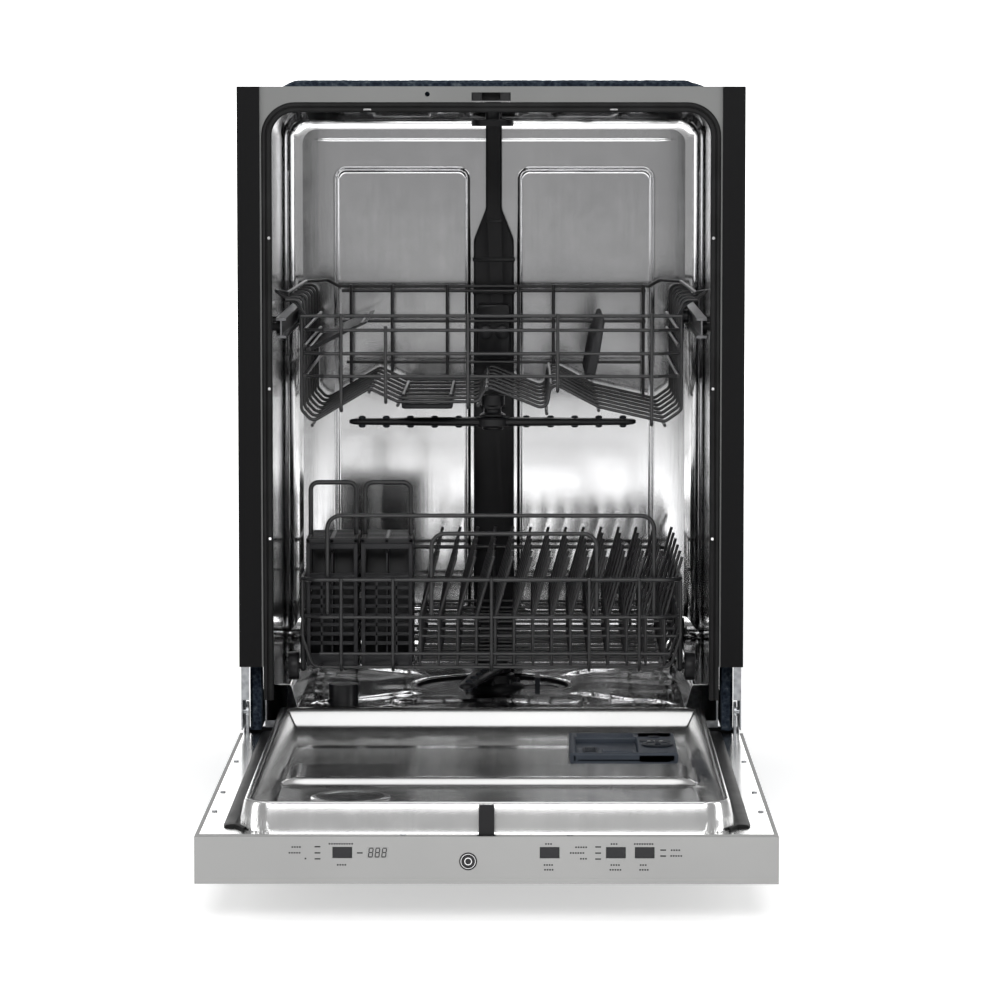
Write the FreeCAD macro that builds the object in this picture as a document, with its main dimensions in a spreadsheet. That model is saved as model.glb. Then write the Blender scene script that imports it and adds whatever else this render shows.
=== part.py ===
import FreeCAD, Part
import os
import Sketcher

# Built-in dishwasher with its door open flat and both racks in.
# +X is to the right, +Y towards the back and +Z up; the floor is at Z = 0. Lengths in the helper
# calls are written from the cabinet's front plane (Y) and the floor (Z), and the helpers move Y so
# that the whole object, door included, is centred on the row's origin.

SIZES = {
    "cabinet_width": 603,        # over the door
    "cabinet_height": 864,       # floor to the top of the front frame
    "cabinet_depth": 560,        # front plane to the rearmost fitting
    "rear_space": 24,            # back wall to the rearmost fitting
    "side_space": 29.5,          # tub wall to the side of the door
    "ceiling_drop": 18,
    "tub_wall": 1.2,
    "tub_corner": 41,
    "ledge_height": 150,         # side ledges that carry the lower rack
    "ledge_width": 32,
    "floor_height": 120,
    "floor_front": 50,
    "panel_emboss": 2.5,
    "sump_radius": 95,
    "sump_depth": 64,
    "sump_back": 280,            # front plane to the sump's centre
    "frame_sheet": 1.5,
    "gasket_width": 12,
    "gasket_depth": 13.5,
    "gasket_top_drop": 18.5,
    "gasket_corner": 40,
    "trim_foot": 177,            # floor to the foot of the side trims
    "trim_width": 26.7,
    "blanket_thickness": 14.5,
    "blanket_top": 23.5,
    "blanket_bottom": 97,
    "leg_radius": 16,
    "leg_height": 22,
    "feed_tube_width": 52,
    "feed_tube_neck": 20.6,
    "feed_tube_depth": 20,
    "pivot_height": 120.75,
    "pivot_setback": 23.25,      # pivot behind the front plane
    "pivot_pin_radius": 5,
    "running_fit": 0.05,
    "gap": 0.4,                  # between pieces that move past each other
    "door_gap": 6,               # closed door's flange to the front plane
    "door_thickness": 49,        # flange to outer face
    "door_tail": 44,             # open door's far edge behind the front plane
    "door_sheet": 1,
    "liner_depth": 31,           # rim above the flange
    "liner_inset": 43.5,         # side of the door to the liner's rim
    "liner_rim": 12,
    "liner_sheet": 1.2,
    "panel_depth": 60,
    "panel_wall": 2.5,
    "button_width": 19.6,
    "button_height": 11,
    "dispenser_width": 123,
    "dispenser_length": 165,
    "dispenser_rise": 16,
    "rack_clearance": 43,        # tub wall to the outside of a rack
    "rack_wire": 4,
    "rack_front": 43,
    "rack_rear_space": 39,
    "upper_rack_low": 463,
    "upper_rack_rim": 592,
    "upper_rack_rear": 609,
    "lower_rack_low": 165,
    "lower_rack_rim": 276,
    "wheel_radius": 17,
    "wheel_width": 14,
    "axle_radius": 4,
    "rail_height": 24,
    "rail_width": 12,
    "rail_level": 578,
    "roller_radius": 8.6,
    "upper_arm_radius": 178,
    "lower_arm_radius": 190,
    "upper_arm_level": 444,
    "lower_arm_level": 134.5,
    "arm_thickness": 12,
    "arm_axis_back": 270,
    "basket_width": 62,
    "basket_length": 110,
    "basket_height": 148,
    "basket_wall": 2,
}

doc = FreeCAD.newDocument("dishwasher")
sheet = doc.addObject("Spreadsheet::Sheet", "dims")
for row, (alias, value) in enumerate(SIZES.items(), start=1):
    sheet.set(f"A{row}", alias)
    sheet.set(f"B{row}", str(value))
    sheet.setAlias(f"B{row}", alias)
doc.recompute()

# Lengths that several pieces share, as expressions on the sheet.
HALF = "dims.cabinet_width / 2"
TUB = f"({HALF} - dims.side_space)"
TUB_OUT = f"({TUB} + dims.tub_wall)"
FRAME_HALF = f"({HALF} - 4.1)"
TOP = "dims.cabinet_height"
CEILING = f"({TOP} - dims.ceiling_drop)"
CEILING_OUT = f"({CEILING} + dims.tub_wall)"
BACK = "(dims.cabinet_depth - dims.rear_space)"
BACK_OUT = f"({BACK} + dims.tub_wall)"
REACH = "(dims.cabinet_height - dims.pivot_height - dims.pivot_setback)"
TIP = f"(-{REACH})"
FLANGE = "(dims.pivot_height - dims.pivot_setback - dims.door_gap)"
OUTER = f"({FLANGE} - dims.door_thickness)"
RIM = f"({FLANGE} + dims.liner_depth)"
LINER = f"({HALF} - dims.liner_inset)"
LINER_FRONT = f"({TIP} + 30.5)"
RECESS = f"({FLANGE} + 3.5)"
SHIFT = f"({REACH} - dims.cabinet_depth) / 2"
RACK = f"({TUB} - dims.rack_clearance)"
RACK_BACK = f"({BACK} - dims.rack_rear_space)"
GASKET_OUT = f"({TUB} - 1.3)"
GASKET_IN = f"({GASKET_OUT} - dims.gasket_width)"
GASKET_TOP = f"({TOP} - dims.gasket_top_drop)"
TRIM_IN = f"({HALF} - 2.3 - dims.trim_width)"
TRIM_LOW = "dims.trim_foot"
BASE_HALF = f"({TUB} + 0.5)"
PAN = "dims.leg_height"
SUMP_LOW = "(dims.floor_height - 6 - dims.sump_depth)"
WIRE = "dims.rack_wire"
SIDES = ((-1, "left"), (1, "right"))

nodes = []


def value_of(expression):
    """The number that an expression on the sheet gives."""
    found = sheet.evalExpression(str(expression))
    return float(getattr(found, "Value", found))


def behind(y):
    """Y in the row's frame of a point y behind the front plane."""
    return f"{SHIFT} + ({y})"


def place(obj, x, y, z):
    """Puts an object's own origin at x, y behind the front plane, z above the floor."""
    obj.setExpression("Placement.Base.x", str(x))
    obj.setExpression("Placement.Base.y", behind(y))
    obj.setExpression("Placement.Base.z", str(z))


def box(name, x_span, y_span, z_span):
    """A block between two corners."""
    made = doc.addObject("Part::Box", name)
    for size, span in zip(("Length", "Width", "Height"), (x_span, y_span, z_span)):
        made.setExpression(size, f"({span[1]}) - ({span[0]})")
    place(made, x_span[0], y_span[0], z_span[0])
    return made


def mirrored(side, inner, outer):
    """The X span between two distances from the centre, on one side."""
    if side > 0:
        return (inner, outer)
    return (f"-({outer})", f"-({inner})")


def rod(name, axis, radius, length, at):
    """A cylinder along X, Y or Z from the point at."""
    made = doc.addObject("Part::Cylinder", name)
    made.setExpression("Radius", str(radius))
    made.setExpression("Height", str(length))
    turns = {
        "X": FreeCAD.Rotation(FreeCAD.Vector(0, 1, 0), 90),
        "Y": FreeCAD.Rotation(FreeCAD.Vector(1, 0, 0), -90),
        "Z": FreeCAD.Rotation(),
    }
    made.Placement = FreeCAD.Placement(FreeCAD.Vector(), turns[axis])
    place(made, *at)
    return made


def union(name, *pieces):
    made = doc.addObject("Part::MultiFuse", name)
    made.Shapes = list(pieces)
    made.Refine = True
    return made


def group(name, *pieces):
    made = doc.addObject("Part::Compound", name)
    made.Links = list(pieces)
    return made


def difference(name, base, *tools):
    made = doc.addObject("Part::Cut", name)
    made.Base = base
    made.Tool = tools[0] if len(tools) == 1 else group(name + "_tools", *tools)
    return made


def node(label, obj):
    """Names a finished sub-part."""
    obj.Label = label
    nodes.append(obj)
    return obj


def new_body(name):
    return doc.addObject("PartDesign::Body", name)


def sketch_on(body, name, role, loops, offset="0"):
    """A sketch of closed polygons, each point held by two distances from the origin."""
    sketch = body.newObject("Sketcher::SketchObject", name)
    plane = [item for item in body.Origin.OriginFeatures if item.Role == role][0]
    sketch.AttachmentSupport = (plane, [""])
    sketch.MapMode = "FlatFace"
    sketch.setExpression("AttachmentOffset.Base.z", str(offset))
    for points in loops:
        first = sketch.GeometryCount
        count = len(points)
        numbers = [FreeCAD.Vector(value_of(u), value_of(v), 0) for u, v in points]
        for index in range(count):
            line = Part.LineSegment(numbers[index], numbers[(index + 1) % count])
            sketch.addGeometry(line, False)
        for index in range(count):
            following = first + (index + 1) % count
            sketch.addConstraint(Sketcher.Constraint("Coincident", first + index, 2, following, 1))
        for index, (u, v) in enumerate(points):
            for kind, text, number in (("DistanceX", u, numbers[index].x),
                                       ("DistanceY", v, numbers[index].y)):
                place_in = sketch.addConstraint(
                    Sketcher.Constraint(kind, -1, 1, first + index, 1, number))
                sketch.setExpression(f"Constraints[{place_in}]", str(text))
    return sketch


def pad(body, sketch, length, backwards=False):
    made = body.newObject("PartDesign::Pad", sketch.Name + "_pad")
    made.Profile = sketch
    made.Reversed = backwards
    made.setExpression("Length", str(length))
    body.Tip = made
    doc.recompute()
    return made


def pocket(body, sketch, length, backwards=False):
    before = body.Shape.Volume
    made = body.newObject("PartDesign::Pocket", sketch.Name + "_pocket")
    made.Profile = sketch
    made.Reversed = backwards
    made.setExpression("Length", str(length))
    body.Tip = made
    doc.recompute()
    if body.Shape.Volume > before - 0.01:
        raise RuntimeError(f"{made.Name} cuts nothing")
    return made


def round_edges(body, name, axis, points, radius):
    """Fillets the edges along an axis that pass through the given cross-section points."""
    used = [index for index in range(3) if index != "XYZ".index(axis)]
    wanted = [(value_of(u), value_of(v)) for u, v in points]
    names = []
    base = body.Tip
    for number, edge in enumerate(base.Shape.Edges, start=1):
        ends = [vertex.Point for vertex in edge.Vertexes]
        if len(ends) != 2 or abs(ends[0]["XYZ".index(axis)] - ends[1]["XYZ".index(axis)]) < 0.01:
            continue
        for target in wanted:
            if all(abs(end[used[k]] - target[k]) < 0.01 for end in ends for k in (0, 1)):
                names.append(f"Edge{number}")
    if not names:
        raise RuntimeError(f"{name} finds no edge")
    made = body.newObject("PartDesign::Fillet", name)
    made.Base = (base, names)
    made.setExpression("Radius", str(radius))
    body.Tip = made
    doc.recompute()
    return made


def rectangle(u_span, v_span):
    return [(u_span[0], v_span[0]), (u_span[1], v_span[0]),
            (u_span[1], v_span[1]), (u_span[0], v_span[1])]


def round_topped(name, half_width, top, low, y_span, radius):
    """A block centred on X whose two long top edges are rounded."""
    body = new_body(name)
    outline = rectangle((f"-({half_width})", half_width), (low, top))
    sketch = sketch_on(body, name + "_outline", "XZ_Plane", [outline])
    pad(body, sketch, f"({y_span[1]}) - ({y_span[0]})", backwards=True)
    if radius:
        corners = [(half_width, top), (f"-({half_width})", top)]
        round_edges(body, name + "_corners", "Y", corners, radius)
    place(body, 0, y_span[0], 0)
    return body


def arch(name, outer, inner, low, y_span, radii):
    """An upside-down U: outer and inner are (half width, top), extruded front to back."""
    outside = round_topped(name + "_outside", *outer, low, y_span, radii[0])
    inside = round_topped(name + "_inside", *inner, f"({low}) - 5",
                          (f"{y_span[0]} - 1", f"{y_span[1]} + 1"), radii[1])
    return difference(name + "_arch", outside, inside)


def wire_grid(name, role, u_span, v_span, counts, at, backwards=False):
    """A flat panel of crossing square bars, one wire thick, made as a plate with windows."""
    body = new_body(name)
    plate = sketch_on(body, name + "_plate", role, [rectangle(u_span, v_span)])
    pad(body, plate, WIRE, backwards)
    steps = [f"((({span[1]}) - ({span[0]}) - {WIRE}) / {count})"
             for span, count in zip((u_span, v_span), counts)]
    spans = [(f"({span[0]}) + {WIRE}", f"({span[0]}) + {step}")
             for span, step in zip((u_span, v_span), steps)]
    window = sketch_on(body, name + "_window", role, [rectangle(*spans)])
    # A pad along the plane's normal is cut by a pocket turned the same way.
    cut = pocket(body, window, WIRE, backwards=not backwards)
    patterns = []
    for axis, step, count in zip(("H_Axis", "V_Axis"), steps, counts):
        if count == 1:
            continue
        row = body.newObject("PartDesign::LinearPattern", f"{name}_{axis}")
        row.Direction = (window, [axis])
        row.setExpression("Length", f"{step} * {count - 1}")
        row.Occurrences = count
        patterns.append(row)
    both = body.newObject("PartDesign::MultiTransform", name + "_windows")
    both.Originals = [cut]
    both.Transformations = patterns
    body.Tip = both
    place(body, *at)
    doc.recompute()
    return body


# ---------------------------------------------------------------- tub and cabinet

def build_tub():
    node("tub_wrap", arch("tub_wrap", (TUB_OUT, CEILING_OUT), (TUB, CEILING), "dims.ledge_height",
                          ("dims.frame_sheet", BACK),
                          ("dims.tub_corner + dims.tub_wall", "dims.tub_corner")))

    back = new_body("tub_back_wall")
    low = "dims.floor_height - 15"
    outline = rectangle((f"-{TUB_OUT}", TUB_OUT), (low, CEILING_OUT))
    pad(back, sketch_on(back, "back_sheet", "XZ_Plane", [outline]), "dims.tub_wall", True)
    corners = [(TUB_OUT, CEILING_OUT), (f"-{TUB_OUT}", CEILING_OUT)]
    round_edges(back, "back_corners", "Y", corners, "dims.tub_corner + dims.tub_wall")
    for side, word in SIDES:
        span = mirrored(side, "34", f"{TUB} - 69")
        panel = rectangle(span, ("dims.ledge_height + 30", f"{CEILING} - 88"))
        raised = sketch_on(back, "emboss_" + word, "XZ_Plane", [panel])
        pad(back, raised, "dims.panel_emboss", False)
    place(back, 0, BACK, 0)
    node("tub_back_wall", back)

    floor = new_body("tub_floor_sheet")
    step = f"({TUB} - dims.ledge_width)"
    foot = f"({step} - 8)"
    sheet_low = "dims.tub_wall"
    outline = [(f"-{TUB_OUT}", "dims.ledge_height"), (f"-{step}", "dims.ledge_height"),
               (f"-{foot}", "dims.floor_height"), (foot, "dims.floor_height"),
               (step, "dims.ledge_height"), (TUB_OUT, "dims.ledge_height"),
               (TUB_OUT, f"dims.ledge_height - {sheet_low}"),
               (f"{step} + 0.6", f"dims.ledge_height - {sheet_low}"),
               (f"{foot} + 0.6", f"dims.floor_height - {sheet_low}"),
               (f"-{foot} - 0.6", f"dims.floor_height - {sheet_low}"),
               (f"-{step} - 0.6", f"dims.ledge_height - {sheet_low}"),
               (f"-{TUB_OUT}", f"dims.ledge_height - {sheet_low}")]
    pad(floor, sketch_on(floor, "floor_section", "XZ_Plane", [outline]),
        f"{BACK} - dims.floor_front", True)
    place(floor, 0, "dims.floor_front", 0)
    sump_hole = rod("sump_hole", "Z", "dims.sump_radius", 40,
                    (0, "dims.sump_back", "dims.floor_height - 20"))
    float_hole = rod("float_hole", "Z", 3.5, 40, (-180, 110, "dims.floor_height - 20"))
    node("tub_floor", difference("tub_floor_cut", floor, sump_hole, float_hole))


def build_front():
    frame = arch("front_frame_sheet", (FRAME_HALF, TOP), (GASKET_OUT, GASKET_TOP),
                 TRIM_LOW, ("0", "dims.frame_sheet"), (0, "dims.gasket_corner"))
    lip = box("front_frame_lip", (f"-{TUB}", TUB), ("dims.frame_sheet", "25"),
              (f"{TOP} - dims.frame_sheet", TOP))
    notch = box("latch_notch", ("-23", "23"), ("-1", "dims.frame_sheet + 1"),
                (f"{GASKET_TOP} - 5", f"{TOP} - 7"))
    spy_hole = rod("frame_hole", "Y", 2.9, 10, (-75, "-2", f"{TOP} - 9"))
    fixing = [rod("counter_fixing_" + word, "Z", 2.5, 10, (side * 190, 14, f"{TOP} - 5"))
              for side, word in SIDES]
    node("front_frame", difference("front_frame_cut", union("front_frame_whole", frame, lip),
                                   notch, spy_hole, *fixing))

    node("door_gasket", arch("door_gasket", (GASKET_OUT, GASKET_TOP),
                             (GASKET_IN, f"{GASKET_TOP} - dims.gasket_width"),
                             "dims.ledge_height - 13", ("-1.5", "dims.gasket_depth - 1.5"),
                             ("dims.gasket_corner", "dims.gasket_corner - dims.gasket_width")))

    strips = []
    for side, word in SIDES:
        outer = f"({HALF} - 2.3)"
        front = box("trim_front_" + word, mirrored(side, TRIM_IN, outer), ("-3", "0"),
                    (TRIM_LOW, TOP))
        flank = box("trim_flank_" + word, mirrored(side, f"{outer} - 1.6", outer), ("-0.1", "22"),
                    (TRIM_LOW, TOP))
        strips.append(union("trim_" + word, front, flank))
    node("side_trims", group("side_trims_pair", *strips))

    cover = arch("blanket_arch", (f"{TUB_OUT} + 1.3 + dims.blanket_thickness",
                                  f"{CEILING_OUT} + 1.3 + dims.blanket_top"),
                 (f"{TUB_OUT} + 1.3", f"{CEILING_OUT} + 1.3"), "dims.blanket_bottom",
                 ("33", f"{BACK_OUT} + 1"), (30, 40))
    rear = arch("blanket_rear", (f"{TUB_OUT} + 1.3 + dims.blanket_thickness",
                                 f"{CEILING_OUT} + 1.3 + dims.blanket_top"),
                ("20", "dims.blanket_bottom + 1"), "dims.blanket_bottom",
                (f"{BACK_OUT} + 1", f"{BACK_OUT} + 9"), (30, 0))
    node("insulation_blanket", union("insulation_blanket_whole", cover, rear))

    body = box("strike_block", ("-22", "22"), ("dims.frame_sheet", "32"),
               (f"{GASKET_TOP} + 2.3", f"{TOP} - dims.frame_sheet"))
    slot = box("strike_slot", ("-11", "11"), ("-5", "29"), (f"{GASKET_TOP} - 4", f"{TOP} - 6"))
    node("latch_strike", difference("latch_strike_cut", body, slot))


def build_base():
    y_span = ("dims.floor_front + 12", BACK)
    pan = box("base_block", (f"-{BASE_HALF}", BASE_HALF), y_span,
              (PAN, "dims.ledge_height - dims.tub_wall"))
    room = box("base_room", (f"-{BASE_HALF} + 2", f"{BASE_HALF} - 2"),
               (f"{y_span[0]} + 2", f"{y_span[1]} - 2"), (f"{PAN} + 2", "dims.ledge_height"))
    over = box("base_low_walls", (f"-{BASE_HALF} + 2", f"{BASE_HALF} - 2"),
               (f"{y_span[0]} - 5", f"{y_span[1]} + 5"),
               ("dims.floor_height - 16", "dims.ledge_height"))
    holes = [rod("inlet_clearance", "Y", 14, 20, (-200, f"{BACK} - 10", 62)),
             rod("drain_clearance", "Y", 10.5, 20, (60, f"{BACK} - 10", 62))]
    node("base_frame", difference("base_frame_cut", pan, room, over, *holes))

    legs = []
    for side, word in SIDES:
        for y, end in (("dims.floor_front + 32", "front"), (f"{BACK} - 36", "rear")):
            foot = rod(f"foot_{word}_{end}", "Z", "dims.leg_radius", 8, (side * 240, y, 0))
            stem = rod(f"stem_{word}_{end}", "Z", 5, f"{PAN} - 7", (side * 240, y, 7))
            legs.append(union(f"leg_{word}_{end}", foot, stem))
    node("levelling_legs", group("levelling_legs_set", *legs))
    node("toe_kick", box("toe_kick", (f"-{FRAME_HALF} + 2", f"{FRAME_HALF} - 2"),
                         ("dims.floor_front + 10", "dims.floor_front + 12"),
                         (6, "dims.blanket_bottom - 1")))

    brackets = []
    for side, word in SIDES:
        outer = FRAME_HALF
        flank = box("hinge_flank_" + word, mirrored(side, f"{outer} - 1.5", outer), ("2", "72"),
                    ("dims.pivot_height - 20", TRIM_LOW))
        foot = box("hinge_foot_" + word, mirrored(side, f"{outer} - 1.5", outer),
                   ("dims.door_tail + 6", "72"), ("dims.pivot_height - 43", "dims.pivot_height - 19"))
        face = box("hinge_face_" + word, mirrored(side, f"{outer} - 9.4", outer),
                   ("2", "3.5"), ("dims.pivot_height + 16", TRIM_LOW))
        tab = box("hinge_tab_" + word, mirrored(side, BASE_HALF, f"{outer} - 1"), ("64", "72"),
                  ("dims.pivot_height - 43", "dims.pivot_height - 25"))
        pin = rod("hinge_pin_" + word, "X", "dims.pivot_pin_radius", 7,
                  (f"{side} * ({outer} - 4.5) - 3.5", "dims.pivot_setback", "dims.pivot_height"))
        brackets.append(union("hinge_bracket_" + word, flank, foot, face, tab, pin))
    node("hinge_brackets", group("hinge_brackets_pair", *brackets))
    springs = [rod("door_spring_" + word, "Y", 8, 300,
                   (f"{side} * ({BASE_HALF} + 8.6)", 76, 60)) for side, word in SIDES]
    node("door_springs", group("door_springs_pair", *springs))


def build_water_path():
    tube = new_body("feed_tube_upright")
    wide = "dims.feed_tube_width / 2"
    neck = "dims.feed_tube_neck / 2"
    shoulder = f"({CEILING} - 138)"
    top = f"({CEILING} - 4)"
    outline = [(f"-{wide}", "dims.floor_height"), (wide, "dims.floor_height"),
               (wide, f"{shoulder} - 40"), (neck, shoulder), (neck, top), (f"-{neck}", top),
               (f"-{neck}", shoulder), (f"-{wide}", f"{shoulder} - 40")]
    pad(tube, sketch_on(tube, "feed_tube_front", "XZ_Plane", [outline]), "dims.feed_tube_depth",
        True)
    tube_front = f"({BACK} - dims.feed_tube_depth - 3)"
    place(tube, 0, tube_front, 0)
    along_ceiling = box("feed_tube_ceiling", (f"-{neck}", neck),
                        ("dims.arm_axis_back + 20", f"{tube_front} + 1"), (f"{top} - 16", top))
    along_floor = box("feed_tube_floor", ("-18", "18"), ("dims.sump_back + 40", f"{tube_front} + 1"),
                      ("dims.floor_height", "dims.floor_height + 11"))
    port = rod("feed_tube_port", "Y", 13, 11,
               (0, f"{tube_front} - 10", "dims.upper_arm_level + 29"))
    node("water_feed_tube", union("water_feed_tube_whole", tube, along_ceiling, along_floor, port))

    plate = rod("ceiling_spray_plate", "Z", 26, 8,
                (0, "dims.arm_axis_back", f"{CEILING} - 30"))
    stalk = rod("ceiling_spray_stalk", "Z", 9, 19,
                (0, "dims.arm_axis_back", f"{CEILING} - 23"))
    elbow = box("ceiling_spray_elbow", ("-9", "9"),
                ("dims.arm_axis_back", "dims.arm_axis_back + 20"),
                (f"{CEILING} - 18", f"{CEILING} - 6"))
    node("ceiling_nozzle", union("ceiling_nozzle_whole", plate, stalk, elbow))

    centre = (0, "dims.sump_back")
    shell = rod("sump_shell", "Z", "dims.sump_radius + 10",
                f"dims.floor_height - dims.tub_wall - ({SUMP_LOW})", (*centre, SUMP_LOW))
    bowl = rod("sump_bowl", "Z", "dims.sump_radius - 3", "dims.sump_depth + 20",
               (*centre, f"{SUMP_LOW} + 3"))
    seat = rod("sump_seat", "Z", "dims.sump_radius", 10, (*centre, "dims.floor_height - 6"))
    post = rod("sump_post", "Z", 22, f"dims.lower_arm_level - ({SUMP_LOW}) - 3",
               (*centre, f"{SUMP_LOW} + 2.5"))
    pin = rod("sump_post_pin", "Z", 7, "dims.arm_thickness + 6",
              (*centre, "dims.lower_arm_level - 2"))
    node("sump_housing", union("sump_housing_whole",
                               difference("sump_cut", shell, bowl, seat), post, pin))

    plate = rod("filter_plate", "Z", "dims.sump_radius - 0.3", 2, (*centre, "dims.floor_height - 6"))
    post_hole = rod("filter_post_hole", "Z", 22.3, 10, (*centre, "dims.floor_height - 10"))
    filter_hole = rod("filter_round_hole", "Z", 27, 10,
                      (56, "dims.sump_back", "dims.floor_height - 10"))
    node("flat_filter", difference("flat_filter_cut", plate, post_hole, filter_hole))
    spot = (56, "dims.sump_back")
    drum = rod("filter_drum", "Z", 26, "dims.sump_depth - 4", (*spot, f"{SUMP_LOW} + 5"))
    hollow = rod("filter_hollow", "Z", 24, "dims.sump_depth - 8", (*spot, f"{SUMP_LOW} + 7"))
    knob = box("filter_knob", ("53", "59"), ("dims.sump_back - 22", "dims.sump_back + 22"),
               (f"{SUMP_LOW} + dims.sump_depth", "dims.lower_arm_level - 4"))
    node("cylinder_filter", union("cylinder_filter_whole",
                                  difference("filter_shell", drum, hollow), knob))

    dome = rod("float_dome", "Z", 18, 22, (-180, 110, "dims.floor_height + dims.gap"))
    stem = rod("float_stem", "Z", 3, 26, (-180, 110, "dims.floor_height - 20"))
    node("overfill_float", union("overfill_float_whole", dome, stem))

    mid = "(dims.leg_height + 50)"
    side_of_sump = "dims.sump_radius + 10"
    volute = rod("pump_volute", "X", 40, 52, (f"-({side_of_sump}) - 52", "dims.sump_back", mid))
    motor = rod("pump_motor", "X", 34, 84, (f"-({side_of_sump}) - 134", "dims.sump_back", mid))
    node("circulation_pump", union("circulation_pump_whole", volute, motor))
    behind_sump = "dims.sump_back + dims.sump_radius + 10"
    pump = rod("drain_pump_motor", "Y", 24, 70, (60, behind_sump, 62))
    spigot = rod("drain_spigot", "Y", 9.5, f"dims.cabinet_depth - ({behind_sump}) - 60",
                 (60, f"{behind_sump} + 60", 62))
    node("drain_pump", union("drain_pump_whole", pump, spigot))
    valve = box("valve_block", ("-222", "-178"), (f"{BACK} - 62", f"{BACK} - 3"), (38, 86))
    thread = rod("valve_thread", "Y", 13, f"dims.rear_space + 8",
                 (-200, f"{BACK} - 8", 62))
    node("inlet_valve", union("inlet_valve_whole", valve, thread))
    heater = rod("heater_shell", "Y", 28, 150, (165, "dims.sump_back - 60", mid))
    link = rod("heater_link", "X", 12, f"165 - ({side_of_sump})", (side_of_sump, "dims.sump_back", mid))
    node("flow_heater", union("flow_heater_whole", heater, link))
    wiring = box("junction_block", ("180", "250"), (BACK, "dims.cabinet_depth"), (50, 95))
    gland = rod("junction_gland", "Z", 8, 30, (215, "dims.cabinet_depth - dims.rear_space / 2", 48))
    node("junction_box", difference("junction_box_cut", wiring, gland))


# ---------------------------------------------------------------- door

BUTTONS = {"start_button": -148.7, "delay_button": 65.1, "cycle_button": 133.4, "temp_button": 163.1}
BUTTON_LEVEL = f"({FLANGE} - 16.2)"
LAMPS = [(-174.2, 10.2), (-174.2, 16.6), (-174.2, 22.8), (-130.6, 16.6), (115.1, 10.2),
         (115.1, 16.6), (115.1, 22.8), (182.1, 13.4), (182.1, 19.6)]
WINDOW_MIDDLE = -112.2
BADGE_MIDDLE = -18.9


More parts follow.
